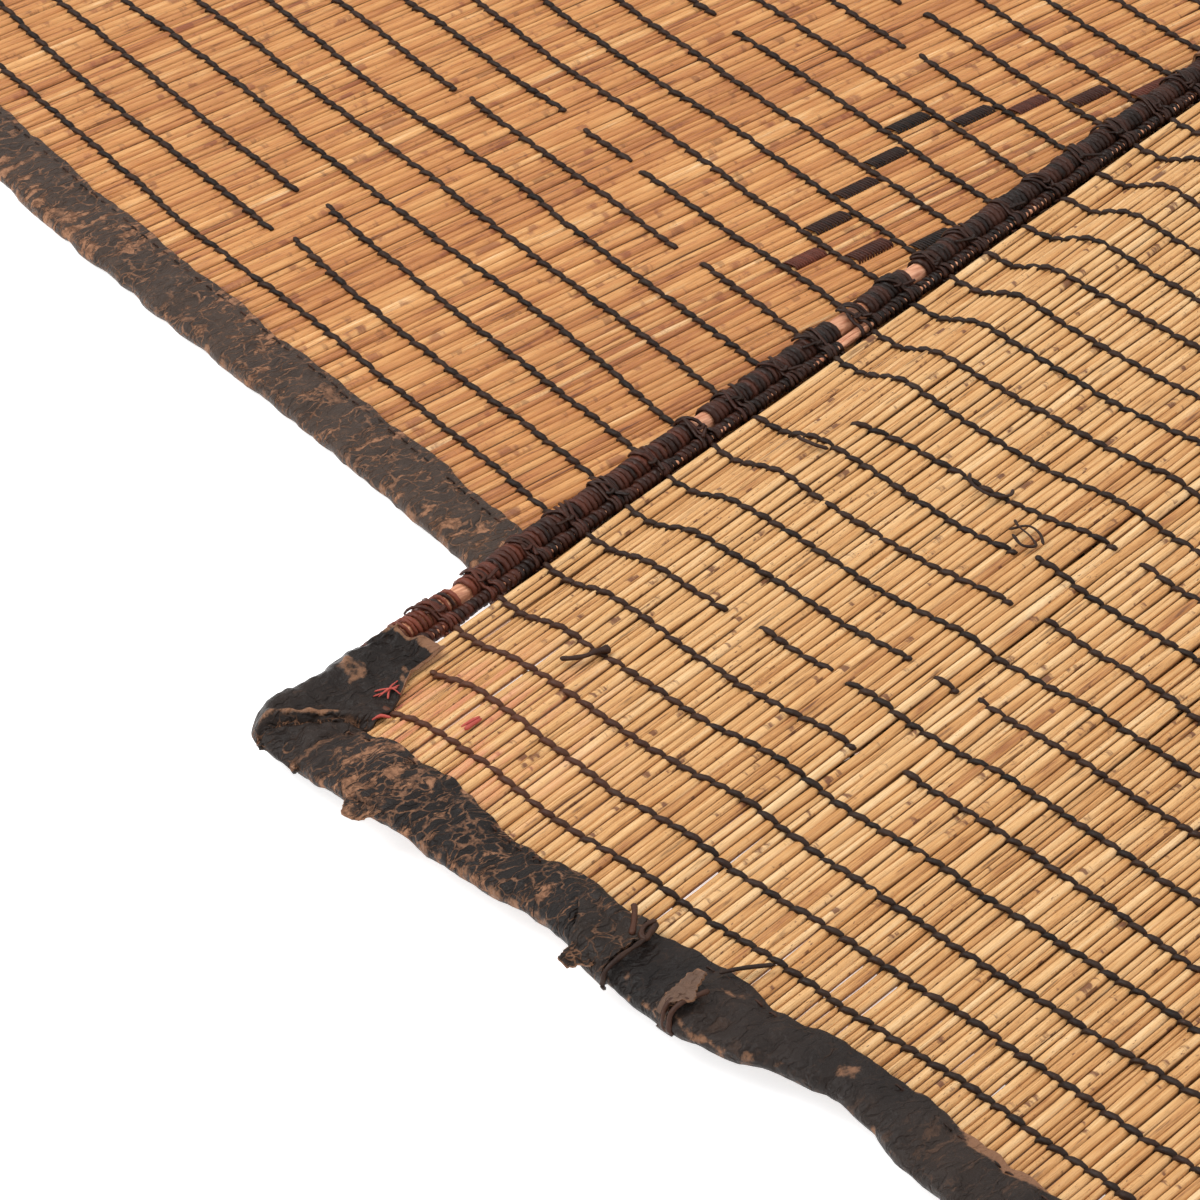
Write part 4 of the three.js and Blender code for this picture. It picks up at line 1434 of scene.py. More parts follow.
    def _lump(
        self,
        batch: ThongBatch,
        line: RodLine,
        rng: np.random.Generator,
        middle: float,
        face: int,
        brown: float,
    ) -> None:
        """A knot between the rods, with its loose end.

        Args:
            batch: Takes the knot.
            line: The rod's line.
            rng: Source of its unevenness.
            middle: Where along the rod it is.
            face: Which face it is on.
            brown: How brown it is.
        """
        turn = np.linspace(0, FULL_TURN * rng.uniform(1.2, 1.8), 14)
        radius = 0.0013 + 0.0005 * np.sin(turn * 1.7)
        out = -0.52 * (ROD_OUT - BUNDLE_OUT) + rng.normal(0, 0.0006) + radius * np.cos(turn)
        up = 0.0038 + 0.0008 * np.sin(turn * 0.6) + 0.0004 * turn / math.pi
        along = middle + rng.normal(0, 0.001) + radius * np.sin(turn)
        heading = rng.uniform(-0.6, math.pi + 0.6)
        reach = np.linspace(0.0012, rng.uniform(0.004, 0.009), 5)
        out = np.append(out, out[-1] - reach * math.sin(heading))
        along = np.append(along, along[-1] + reach * math.cos(heading))
        up = np.append(up, np.linspace(up[-1], 0.0052, 5))
        path = kept_above(line.lay(np.stack([out, face * up, along], 1)), KNOT_FLOOR)
        batch.sweep(path, line.up * face, rng.uniform(0.1, 0.8), brown, 0.9)


@dataclass(frozen=True)
class WearPatch:
    """How worn the near binding is over a stretch of the mat."""

    start: float
    stop: float
    scuff: float
    pale: float


@dataclass
class Binding:
    """Leather folded over the reed ends along one long side, and its running stitch."""

    lie: MatLie
    side: Side
    step: float
    around: int
    thickness: float = 0.0012
    lump: float = 0.0005
    cover: float = 0.0104
    dome: float = 0.0011
    stitch_inset: float = 0.0032
    stitch_pitch: float = 0.0075
    stitch_points: int = 5
    groove_half: float = 0.0012
    groove_depth: float = 0.0004
    far_scuff: float = 0.45
    far_pale: float = 0.4
    wear_fade: float = 0.015
    seed: int = 71

    def _trim(self, distance: np.ndarray) -> tuple[np.ndarray, np.ndarray]:
        """Where the fold and the seam lie. On the far side both are straight."""
        if self.side is Side.NEAR:
            return self.lie.edge_and_seam(distance)
        return np.zeros(len(distance)), np.full(len(distance), SEAM)

    def _across(self, inward: np.ndarray) -> np.ndarray:
        """Places across the mat that lie so far in from this side."""
        return inward if self.side is Side.NEAR else self.lie.width - inward

    def _profile(self, part: np.ndarray, edge: np.ndarray, seam: np.ndarray) -> tuple[np.ndarray, ...]:
        """The section folded over the edge.

        Args:
            part: Part of the way from the seam on the front to the seam on the back.
            edge: Where the fold lies.
            seam: Where the two cut edges lie.

        Returns:
            Distance in from the edge, lift, and the outward direction in the same two terms.
        """
        half = BINDING_HALF
        flat = seam - edge - half
        arc = math.pi * half
        run = part * (2 * flat + arc)
        bearing = np.clip((run - flat) / half, 0, math.pi)
        on_back = run > flat + arc
        sides = np.where(on_back, run - flat - arc, flat - run)
        turned = (run >= flat) & ~on_back
        inward = edge + half + np.where(turned, -half * np.sin(bearing), np.maximum(sides, 0))
        settle = 1 - 0.12 * between(0.005, 0, seam - inward)
        lift = half * np.cos(bearing) * settle
        return inward, lift, -np.sin(bearing), np.cos(bearing)

    def build(self) -> bpy.types.Object:
        """The leather as one closed piece."""
        start, stop = self.cover, self.lie.length - self.cover
        along = round((stop - start) / self.step)
        piece, part, turn = Bench.sheet_blank(f"binding_{self.side.name.lower()}_leather", along, self.around)
        distance = start + part * (stop - start)
        edge, seam = self._trim(distance)
        front = turn < 0.5
        front_cut, back_cut = (ripple(distance, 0, 0.05, self.seed + shift) for shift in range(2))
        cut_wave = np.where(front, front_cut, back_cut)
        fine_cut = ripple(distance, np.where(front, 0, 9), 0.012, self.seed + 2)
        seam = seam + 0.0009 * cut_wave + 0.00035 * fine_cut
        edge = edge + 0.0004 * ripple(distance, 0, 0.03, self.seed + 3)
        inward, lift, out_across, out_lift = self._profile(turn, edge, seam)
        girth = turn * BINDING_GIRTH
        shown = between(0.5, 0.56, turn) * between(self.lie.fold + 0.03, self.lie.fold + 0.09, distance)
        bulge = swollen(inward, edge, seam)
        push = self.lump * (1 + 0.6 * shown) * ripple(distance, girth, 0.028, self.seed + 4)
        push += 0.45 * self.lump * ripple(distance, girth, 0.009, self.seed + 5)
        push += (0.0002 + 0.0003 * shown) * ripple(distance, girth * 0.3, 0.008, self.seed + 6)
        groove = bell(inward - (seam - self.stitch_inset), self.groove_half) * self.groove_depth
        push = np.minimum(push, (0.8 + 0.8 * shown) * self.lump) - groove + self.dome * bulge * shown
        inward = inward + out_across * push
        lift = lift + out_lift * push
        lift = np.where(distance < self.lie.fold, np.maximum(lift, -BINDING_HALF), lift)
        Bench.move(piece, self.lie.point(distance, self._across(inward), lift))
        Bench.tint(piece, "wear", *self._wear(distance, inward, edge, seam, turn))
        if self.side is Side.NEAR:
            Bench.flip(piece)
        Bench.apply(piece, "SOLIDIFY", thickness=self.thickness, offset=-1, use_even_offset=False)
        Bench.smooth(piece, 50)
        return piece

    def _wear(
        self, distance: np.ndarray, inward: np.ndarray, edge: np.ndarray, seam: np.ndarray, turn: np.ndarray
    ) -> tuple[np.ndarray, np.ndarray, np.ndarray]:
        """How worn the leather is.

        Args:
            distance: Each point's place along the mat.
            inward: Its distance in from the edge.
            edge: Where the fold lies.
            seam: Where the cut edges lie.
            turn: Part of the way round from the seam on the front to the seam on the back.

        Returns:
            Scuffs, raw edges and paleness at each point.
        """
        cut = between(0.0009, 0.0002, seam - inward) * 0.35
        rub = 0.3 + 0.35 * ripple(distance, 0, 0.012, self.seed + 8)
        raw = cut + between(0.0022, 0.0004, inward - edge) * rub
        if self.side is Side.FAR:
            return np.full(len(turn), self.far_scuff), np.clip(raw, 0, 1), np.full(len(turn), self.far_pale)
        scuff, pale, smudged = np.zeros((3, len(turn)))
        for patch in NEAR_WEAR:
            inside = between(patch.start - self.wear_fade, patch.start + self.wear_fade, distance)
            inside = inside * between(patch.stop + self.wear_fade, patch.stop - self.wear_fade, distance)
            scuff += patch.scuff * inside
            pale += patch.pale * inside
        strip_near = between(1.215, 1.235, distance) * between(1.27, 1.255, distance)
        strip = strip_near * between(0.0042, 0.0030, seam - inward) * (turn > 0.5)
        for smudge in SMUDGES:
            middle = self.lie.back_from_flap(smudge.back)
            apart = np.hypot((distance - middle) / smudge.long, (inward - edge - smudge.inward) / smudge.wide)
            smudged = np.maximum(smudged, smudge.strength * bell(apart) * (turn > 0.5))
        return scuff, np.clip(raw + strip + smudged, 0, 1), pale

    def build_stitches(self) -> bpy.types.Object:
        """The running stitch along both seams as one piece."""
        start, stop = self.cover + 0.004, self.lie.length - self.cover - 0.004
        batch = ThongBatch(0.0004, 0.0003)
        rng = np.random.default_rng(self.seed + 9)
        part = np.linspace(0, 1, self.stitch_points)
        sunk = np.abs(np.linspace(-1, 1, self.stitch_points)) ** 6
        lift = BINDING_HALF - 0.0003 + 0.0003 * np.sin(part * math.pi) - 0.0005 * sunk
        for face in Face:
            for place in np.arange(start, stop, self.stitch_pitch):
                distance = place + part * self.stitch_pitch * rng.uniform(0.5, 0.68)
                across = self._across(self._trim(distance)[1] - self.stitch_inset + rng.normal(0, 0.0002))
                path = self.lie.point(distance, across, face.value * lift)
                up = unit(self.lie.point(distance, across, face.value * (lift + 0.001)) - path)
                batch.sweep(path, up, rng.uniform(0, 0.6), rng.uniform(0, 0.3))
        return batch.make(f"binding_{self.side.name.lower()}_stitches")


NEAR_WEAR = (
    WearPatch(0.0, 0.70, 0.62, 0.75),
    WearPatch(0.70, 1.28, 0.25, 0.2),
    WearPatch(1.28, 1.425, 0.2, 0.03),
    WearPatch(1.425, 1.54, 0.8, 0.05),
    WearPatch(1.54, 1.58, 0.35, 0.05),
)


@dataclass(frozen=True)
class Smudge:
    """A rubbed place on the near binding.

    It lies so far back from the flap's end and so far in from the fold, and has a half length and half width.
    """

    back: float
    inward: float
    long: float
    wide: float
    strength: float


SMUDGES = (
    Smudge(0.2530, 0.0095, 0.0058, 0.0048, 0.74),
    Smudge(0.2480, 0.0225, 0.0022, 0.0014, 0.5),
    Smudge(0.1704, 0.0050, 0.0030, 0.0026, 0.74),
    Smudge(0.1840, 0.0010, 0.0060, 0.0022, 0.62),
    Smudge(0.1975, 0.0020, 0.0040, 0.0030, 0.60),
    Smudge(0.2094, 0.0015, 0.0036, 0.0030, 0.50),
    Smudge(0.2020, 0.0225, 0.0060, 0.0022, 0.72),
    Smudge(0.3040, 0.0190, 0.0120, 0.0034, 0.52),
    Smudge(0.2775, 0.0120, 0.0030, 0.0026, 0.42),
    Smudge(0.2250, 0.0170, 0.0024, 0.0020, 0.45),
)


@dataclass(frozen=True)
class CapPoint:
    """A point of a cap's half section: how far out, and how far off the middle plane."""

    out: float
    lift: float


CAP_SECTION = (
    CapPoint(-0.0128, 0.0043),
    CapPoint(-0.0085, 0.0045),
    CapPoint(-0.003, 0.0046),
    CapPoint(0.001, 0.0049),
    CapPoint(0.0055, 0.0060),
    CapPoint(0.0085, 0.0069),
    CapPoint(0.0125, 0.0070),
    CapPoint(0.0157, 0.0059),
    CapPoint(0.0178, 0.0034),
    CapPoint(0.0185, 0.0),
)


CAP_REACH = (
    (0.0, 0.0128), (0.024, 0.0128), (0.030, 0.0185), (0.042, 0.0180),
    (0.053, 0.0136), (0.061, 0.0092), (0.077, 0.0092),
)


@dataclass
class CornerCap:
    """A leather pocket over one corner of the mat."""

    end: End
    side: Side
    along: int = 44
    around: int = 44
    thickness: float = 0.0011
    closed: float = -0.0016
    round_off: float = 0.014
    crumple: float = 0.0008
    pull: float = 0.0078
    draw: float = 0.0018
    pleat: float = 0.0007
    pleat_pitch: float = 0.0062
    dimple: float = 0.0011
    dimple_place: tuple[float, float] = (0.0032, -0.0034)
    curl: float = 0.0012
    pale: float = 0.08
    seed: int = 91

    @staticmethod
    def _section(turn: np.ndarray) -> tuple[np.ndarray, np.ndarray]:
        """How far out and how far off the middle plane each point of the pocket's section is."""
        table = np.array([(point.out, point.lift) for point in CAP_SECTION])
        run = np.concatenate([[0], np.cumsum(np.hypot(*np.diff(table, axis=0).T))])
        out, lift = eased(run, table, np.minimum(turn, 1 - turn) * 2 * run[-1]).T
        return out, lift

    def build(self) -> bpy.types.Object:
        """The cap as one closed piece."""
        corner = Corner.of(self.end, self.side)
        name = f"{self.end.name.lower()}_cap_{self.side.name.lower()}_leather"
        worn = self.end is End.FLAP and self.side is Side.NEAR
        fine = 2 if worn else 1
        piece, part, turn = Bench.sheet_blank(name, self.along * fine, self.around * fine)
        seed = self.seed + 2 * self.end.value + self.side.value
        section_out, lift = self._section(turn)
        out = section_out
        face = np.where(turn < 0.5, 1.0, -1.0)
        worn_face = worn * (turn > 0.5)
        shown = worn_face * between(0.004, -0.002, out)
        across = self.closed + (CAP_LENGTH + 0.003 * shown - self.closed) * part**1.25
        reach = np.interp(across, *np.array(CAP_REACH).T) / CAP_REACH[0][1]
        inner = between(-0.0128, -0.009, out)
        ahead = np.clip((across - self.closed) / self.round_off, 0, 1)
        fullness = np.sqrt(1 - (1 - ahead) ** 2)
        pull = self.pull * (1 - fullness) * between(0.002, 0.017, out)
        draw = self.draw * (1 - fullness) * between(0.002, -0.012, out)
        lump = ripple(across, out + face, 0.022, seed + 1) + 0.4 * ripple(across, out + face, 0.007, seed + 2)
        from_crease = across - (0.0052 + (0.008 - out) * 1.3)
        below_tip = between(0.024, 0.006, out)
        crease = bell(from_crease, 0.0016) * below_tip * between(-0.0135, -0.0105, out)
        roll = bell(from_crease - 0.0046, 0.0030) * below_tip
        pleats = np.cos(FULL_TURN * (out + 0.002 * ripple(across, out, 0.03, seed)) / self.pleat_pitch)
        pleats = self.pleat * pleats * between(CAP_LENGTH - 0.03, CAP_LENGTH, across)
        push = (self.crumple * (1 + worn * 0.5) * lump * (0.3 + 0.7 * inner) + pleats) * fullness
        push = np.clip(push, -0.0008, 0.0012 + 0.0006 * worn) + (0.0010 + 0.0012 * worn) * roll
        push = push - (0.0012 + 0.0012 * worn) * crease
        hole = np.hypot(across - self.dimple_place[0], out - self.dimple_place[1])
        push = push - self.dimple * worn_face * bell(hole, 0.0012)
        tucked = 0.0016 * between(0.034, 0.025, across) * between(-0.0096, -0.0124, out)
        settled = 0.0009 * between(0.024, 0.032, across) * between(-0.004, -0.0125, out) * (shown > 0.5)
        lift = lift * fullness - tucked - settled + push * between(0, 0.003, lift)
        mouth_curl = between(CAP_LENGTH - 0.005, CAP_LENGTH, across) * between(0.012, 0.004, out)
        edge_curl = 0.9 * shown * (1 - inner) * between(0.046, 0.056, across)
        lift = (lift + self.curl * (mouth_curl + edge_curl) * between(0, 0.003, lift)) * face
        out = np.where(out < 0, out * (1 + (reach - 1) * (shown > 0) * between(0, -0.004, out)), out)
        mouth = between(CAP_LENGTH - 0.012, CAP_LENGTH, across)
        mouth_wave = 0.0022 * ripple(out, face, 0.02, seed + 3) * mouth
        bulge = 0.0012 * worn * ripple(across, 0, 0.03, seed + 5) * fullness * between(0.006, 0.017, out)
        narrow = 0.0032 * worn * between(0.048, 0.074, across) * between(0.007, 0.017, out)
        shy = 0.004 * worn * between(0.008, 0.018, out) * between(0.05, 0.074, across)
        points = corner.at(across + mouth_wave - shy, out - pull + draw + bulge - narrow, lift)
        Bench.move(piece, kept_above(points, LEATHER_FLOOR))
        cut_edge = 1 - between(-0.0128, -0.0118, section_out)
        # Raw colour of the cut edges, the mouth, the lumps and the hole, and along the roll a painted
        # highlight on the fold.
        raw = np.maximum.reduce([
            0.8 * between(CAP_LENGTH - 0.0035, CAP_LENGTH - 0.0008, across),
            0.8 * shown * cut_edge * between(0.046, 0.052, across),
            0.62 * between(0.2, 1.2, lump) * between(0.012, 0.03, across),
            0.78 * roll * between(-0.012, -0.003, out),
            0.55 * worn_face * bell(hole - 0.0021, 0.0008),
        ])
        edge_wear = 0.7 * between(0.006, 0.0, across - self.closed) + 0.35 * between(0.0145, 0.0175, out)
        scuff = np.clip(0.2 + 0.4 * edge_wear + 0.5 * crease, 0, 1)
        # Raw colour is held off the crease so that it stays dark: painted shade.
        Bench.tint(piece, "wear", scuff, np.clip(raw * (1 - 0.8 * crease), 0, 1), self.pale)
        self._close(piece)
        Bench.apply(piece, "SOLIDIFY", thickness=self.thickness, offset=-1, use_even_offset=False)
        Bench.smooth(piece, 60)
        return piece

    @staticmethod
    def _close(piece: bpy.types.Object) -> None:
        """Merge the pocket's closed end and turn its faces outwards."""
        with Bench.editing(piece):
            bpy.ops.mesh.remove_doubles(threshold=0.00002)
            bpy.ops.mesh.normals_make_consistent(inside=False)


@dataclass(frozen=True)
class Dash:
    """A reed pair wound with dark thong over one gap between lacing rows."""

    row: int
    step: int
    brown: float


DASHES = (
    Dash(7, 0, 0.75), Dash(8, 1, 0.1), Dash(8, -1, 0.35), Dash(9, 2, 0.1), Dash(9, -2, 0.0),
    Dash(10, 3, 0.05), Dash(10, -3, 0.15), Dash(11, 4, 0.0), Dash(11, -4, 0.1), Dash(12, 3, 0.05),
    Dash(12, -3, 0.7), Dash(13, 2, 0.5), Dash(13, -2, 0.1), Dash(14, 1, 0.3), Dash(14, -1, 0.2),
    Dash(15, 0, 0.7),
)


@dataclass
class Lozenge:
    """The ornament of dashes on the front of the lower layer."""

    lie: MatLie
    reeds: ReedField
    lacing: Lacing
    middle: float = 0.4195
    step: float = 0.0113
    turns: int = 13
    steps_a_turn: int = 12
    half_width: float = 0.0036
    half_height: float = 0.0024
    clear: float = 0.0028
    seed: int = 111

    def build(self) -> bpy.types.Object:
        """All the dashes as one piece."""
        rng = np.random.default_rng(self.seed)
        batch = ThongBatch(0.00064, 0.0005)
        number = np.arange(len(self.reeds.places))
        for dash in DASHES:
            index = np.interp(self.middle - dash.step * self.step, self.reeds.gap(number), number)
            distance = float(self.reeds.gap(np.array(round(float(index)))))
            start = float(self.lacing.place(dash.row, np.array(distance))) + self.clear
            stop = float(self.lacing.place(dash.row + 1, np.array(distance))) - self.clear
            self._wind(batch, rng, distance, start, stop, dash.brown)
        return batch.make("lozenge_dashes")

    def _wind(
        self,
        batch: ThongBatch,
        rng: np.random.Generator,
        distance: float,
        start: float,
        stop: float,
        brown: float,
    ) -> None:
        """Wind one pair of reeds.

        Args:
            batch: Takes the thong.
            rng: Source of its colour.
            distance: The pair's place along the mat.
            start: Where across the mat the winding starts.
            stop: Where it stops.
            brown: How brown it is.
        """
        turn = np.linspace(0, self.turns, self.steps_a_turn * self.turns + 1)
        bearing = FULL_TURN * turn
        across = start + (stop - start) * turn / self.turns + 0.0002 * np.sin(bearing + 1)
        wide = self.half_width * (1 + 0.03 * ripple(turn, distance, 4, 3))
        aside = wide * squared_off(np.cos(bearing), 0.6)
        lift = self.half_height * squared_off(np.sin(bearing), 0.7)
        path = self.lie.point(distance + aside, across + 0.35 * aside, lift)
        centre = self.lie.point(np.full(len(turn), distance), across, np.zeros(len(turn)))
        light = np.repeat(rng.uniform(0.1, 1, self.turns + 1), self.steps_a_turn)[: len(turn)]
        batch.sweep(path, unit(path - centre), light, brown * (0.6 + 0.4 * light))


@dataclass(frozen=True)
class StripRow:
    """One place round the flap's binding that a piece of leather covers.

    The place is counted in millimetres in from the fold, above nothing on the side that shows and below it on
    the side that lies down; start and stop are millimetres back from the flap's end.
    """

    place: float
    start: float
    stop: float
    proud: float = 0.0


PATCH_ROWS = (
    StripRow(-22, 147, 161),
    StripRow(-12, 145, 162),
    StripRow(-3, 145.5, 162.5),
    StripRow(3, 145, 162.5),
    StripRow(8, 143, 161.5),
    StripRow(13, 139.5, 161.5),
    StripRow(18, 135.5, 162.5),
    StripRow(21, 138, 164.5, 0.3),
    StripRow(24, 147, 164, 0.7),
    StripRow(27, 156, 162.5, 1.4),
    StripRow(30.5, 160.5, 162, 2.2),
)
TIE_ROWS = (
    StripRow(-24, 192, 196.5),
    StripRow(-6, 190.5, 195),
    StripRow(0, 190, 195.5, 0.4),
    StripRow(4, 189.5, 194, 1.2),
    StripRow(9, 189, 193.2, 1.6),
)
TAIL_ROWS = (
    StripRow(2.5, 190.0, 191.6, 1.9),
    StripRow(6, 190.2, 193.4, 2.1),
    StripRow(9, 190.4, 196.8, 2.5),
    StripRow(12, 190.4, 199.2, 2.7),
    StripRow(15, 190.2, 197.0, 2.4),
    StripRow(19, 190.4, 195.6, 2.9),
    StripRow(22.5, 191.6, 194.8, 3.6),
)
TAB_ROWS = (
    (
        StripRow(4, 39, 54, 0.2),
        StripRow(0, 40, 53.5, 0.4),
        StripRow(-4, 41.5, 52, 0.8),
        StripRow(-7.5, 44, 49.5, 0.6),
    ),
    (
        StripRow(4, 146, 160, 0.2),
        StripRow(0, 146.2, 158, 0.8),
        StripRow(-4.5, 146.6, 154, 1.2),
        StripRow(-8.5, 147.2, 152, 0.8),
    ),
)


@dataclass
class BindingStrip:
    """A piece of leather that lies round the flap's near binding."""

    lie: MatLie
    name: str
    rows: tuple[StripRow, ...]
    leather: float
    along: int
    around: int
    scuff: float
    raw: float
    seed: int
    ragged: float = 0.0006
    wraps: bool = True

    def build(self) -> bpy.types.Object:
        """The piece as a closed mesh."""
        piece, part, turn = Bench.sheet_blank(self.name, self.along, self.around)
        rows = np.array([(row.place, row.start, row.stop, row.proud) for row in self.rows])
        table = eased(np.linspace(0, 1, len(rows)), rows / MILLIMETRES_A_METRE, turn)
        place, start, stop, proud = table.T
        start = start + self.ragged * ripple(turn, 0, 0.09, self.seed)
        stop = stop + self.ragged * ripple(turn, 5, 0.09, self.seed + 1)
        along_edge = start + (stop - start) * part
        distance = self.lie.back_from_flap(along_edge)
        edge, seam = self.lie.edge_and_seam(distance)
        inward, lift = self._section(place, edge, seam, proud)
        lift = lift + 0.0003 * ripple(along_edge, turn * BINDING_GIRTH, 0.011, self.seed + 3) * np.sign(lift)
        Bench.move(piece, self.lie.point(distance, inward, lift))
        rim = np.maximum(between(0.86, 1.0, np.abs(part * 2 - 1)), between(0.95, 1.0, turn))
        Bench.tint(piece, "wear", np.full(len(part), self.scuff), np.clip(self.raw + 0.45 * rim, 0, 1), 0.2)
        self._face_out(piece, along_edge.mean())
        Bench.apply(piece, "SOLIDIFY", thickness=self.leather * 0.85, offset=-1, use_even_offset=False)
        Bench.smooth(piece, 60)
        return piece

    def _section(self, place: np.ndarray, edge: np.ndarray, seam: np.ndarray, proud: np.ndarray) -> tuple:
        """Distance in from the edge and lift of each point, for its place round the binding."""
        if not self.wraps:
            lifted = proud * np.clip((place + 0.01) / 0.01, 0, 2)
            return edge + place, -(BINDING_HALF * 0.35 + self.leather + lifted)
        half = BINDING_HALF + 0.0008 + self.leather
        bow = half * math.pi / 2
        bearing = np.clip(place / bow, -1, 1) * math.pi / 2
        past = np.maximum(np.abs(place) - bow, 0)
        inward = edge + half * (1 - np.cos(bearing)) - self.leather * np.cos(bearing) + past
        bulge = swollen(inward, edge, seam)
        settle = 0.0014 * between(-0.001, 0.004, inward - seam)
        shown = place > 0
        lift = half * np.sin(np.abs(bearing)) - settle + np.where(shown, 0.0010 * bulge + proud, 0)
        return inward, np.where(shown, -lift, lift)

    def _face_out(self, piece: bpy.types.Object, along_edge: float) -> None:
        """Turn the leather's faces away from the binding that it lies on."""
        middle = self.lie.back_from_flap(along_edge)
        inside = self.lie.point(middle, 0.012, 0.0 if self.wraps else 0.02)
        points = Bench.points(piece)
        facing = sum(
            float(np.dot(np.array(face.normal), points[list(face.vertices)].mean(0) - inside)) * face.area
            for face in piece.data.polygons
        )
        if facing < 0:
            Bench.flip(piece)


@dataclass(frozen=True)
class LooseThong:
    """A loose thong.

    Its path is in millimetres back from the flap's end, in from the near edge and above the reeds' middle.
    """

    path: tuple[tuple[float, float, float], ...]
    half: float = 0.0009
    brown: float = 0.1
    knot: int | None = None


LOOSE_THONGS = (
    LooseThong(
        (
            (47.6, 98.4, 5.2), (50, 102, 4.6), (52.2, 106.6, 4.2), (54, 111.5, 4.4), (56, 116, 4.0),
        ),
        0.0011, 0.15, 4,
    ),
    LooseThong(
        (
            (164.6, -3.8, -2), (164.4, -4.6, 0.5), (164.2, -2.6, 5.2), (164.8, 4, 7.2), (165.4, 11, 7.6),
            (165, 18, 7.4), (163, 24, 7.0),
        ),
        0.0010, 0.1,
    ),
    LooseThong(
        (
            (163, 23, 6.8), (164.6, 19, 8.0), (165.6, 15.5, 7.6), (163, 16, 7.6), (161, 20, 7.4),
            (161.5, 25, 6.6),
        ),
        0.0010, 0.2,
    ),
    LooseThong(((150, 25, 5.6), (153, 22, 6.6), (157, 17.5, 7.0), (160, 14, 7.0)), 0.0011, 0.4),
    LooseThong(
        (
            (196.5, -4.6, -2), (195.8, -5.2, 0.6), (195.6, -3.6, 5.4), (196.4, 1, 7.6), (198.0, 6, 8.0),
            (199.6, 10.5, 8.4),
        ),
        0.0011, 0.25,
    ),
    LooseThong(
        (
            (193.8, -4.6, -2), (193.2, -5.2, 0.6), (192.8, -3.6, 5.6), (193.2, 0, 7.8), (194.6, 3.5, 8.2),
            (196.6, 7, 8.2),
        ),
        0.0010, 0.25,
    ),
    LooseThong(((195, 21, 5.8), (197.5, 26, 5.6), (200, 31, 5.0), (204, 37.5, 4.2)), 0.0009, 0.05),
    LooseThong(
        (
            (86, 284, 3.6), (90, 279.5, 4.4), (97, 278, 4.8), (103, 280, 4.4), (105.5, 284.5, 3.8),
            (104, 288, 3.6),
        ),
        0.0007,
    ),
    LooseThong(
        (
            (116, 274, 3.4), (121, 270, 5.0), (127, 269, 4.0), (132, 266, 3.4), (129, 262, 4.6),
            (122, 265, 4.8),
        ),
        0.0006,
    ),
    LooseThong(((118, 268, 3.4), (123, 273, 4.4), (130, 271, 5.2), (134, 268, 3.6)), 0.0006),
    LooseThong(((41, 256, 3.6), (36, 253.5, 4.2), (31, 254, 4.0), (28, 256, 3.4)), 0.0009, 0.1),
)
PINK_THREADS = (
    LooseThong(((6.5, 44, 4.2), (9.5, 47, 5.2), (12, 51, 4.6)), 0.00035),
    LooseThong(((8, 42, 4.0), (10.5, 47, 4.8), (11, 53, 4.2)), 0.00035),
    LooseThong(((10, 43, 4.4), (11, 48.5, 5.4), (14.9, 50.2, 3.6)), 0.00035),
    LooseThong(((13, 45, 4.0), (10, 49, 4.8), (8.6, 55, 4.0)), 0.0004),
    LooseThong(((17, 33, 3.6), (19, 36, 4.4), (22, 38.5, 3.2)), 0.0007),
    LooseThong(((46.2, 50.5, 2.3), (46.4, 54, 2.4), (46.6, 58.5, 2.3)), 0.0008),
    LooseThong(((44.4, 50.5, 2.2), (44.8, 55, 2.3), (45.4, 59, 2.2)), 0.0006),
)


@dataclass
class LooseEnds:
    """Thongs that lie loose on the flap."""

    lie: MatLie
    name: str
    thongs: tuple[LooseThong, ...]
    steps: int = 6
    end_size: float = 0.45
    knot_swell: float = 0.8
    knot_half: float = 2.2

    def build(self) -> bpy.types.Object:
        """All of them as one piece."""
        batch = ThongBatch(1.0, 0.75, sides=6)
        for number, thong in enumerate(self.thongs):
            back, across, height = self._smoothed(np.array(thong.path) / MILLIMETRES_A_METRE).T
            distance = self.lie.back_from_flap(back)
            path = self.lie.point(distance, across, -height)
            face = unit(self.lie.point(distance, across, -height - 0.001) - path)
            size = thong.half * (1 + 0.15 * ripple(across, number, 0.006, 151))
            size[[0, -1]] *= self.end_size
            if thong.knot is not None:
                from_knot = np.arange(len(path)) - thong.knot * self.steps + 2
                size *= 1 + self.knot_swell * bell(from_knot, self.knot_half)
            tone = np.clip(0.5 + 0.3 * ripple(across, number, 0.01, 157), 0, 1)
            batch.sweep(path, face, tone, thong.brown, size)
        return batch.make(self.name)

    def _smoothed(self, places: np.ndarray) -> np.ndarray:
        """More places on a smooth curve through a few."""
        knots = np.arange(len(places), dtype=float)
        fine = np.linspace(0, knots[-1], (len(places) - 1) * self.steps + 1)
        padded = np.vstack([2 * places[0] - places[1], places, 2 * places[-1] - places[-2]])
        index = np.minimum(fine.astype(int), len(places) - 2)
        part = (fine - index)[:, None]
        before, start, stop, after = (padded[index + shift] for shift in range(4))
        return 0.5 * (
            2 * start + (stop - before) * part + (2 * before - 5 * start + 4 * stop - after) * part**2
            + (3 * start - before - 3 * stop + after) * part**3
        )


@dataclass(frozen=True)
class SoftLight:
    """A square light that faces the mat, with the length of its side and its power."""

    name: str
    place: tuple[float, float, float]
    size: float
    power: float

    def add(self) -> None:
        """Hang the light."""
        away = np.array(self.place)
        tilt = math.acos(away[2] / float(np.linalg.norm(away)))
        bearing = math.atan2(away[1], away[0])
        bpy.ops.object.light_add(type="AREA", location=self.place, rotation=(0, tilt, bearing))
        light = bpy.context.object
        light.name = self.name
        light.data.shape = "SQUARE"
        light.data.size = self.size
        light.data.energy = self.power


LIGHTS = (
    SoftLight("key", (-1.2, 0.9, 2.1), size=1.9, power=46.0),
    SoftLight("fill", (1.4, -1.3, 2.2), size=2.2, power=22.0),
)


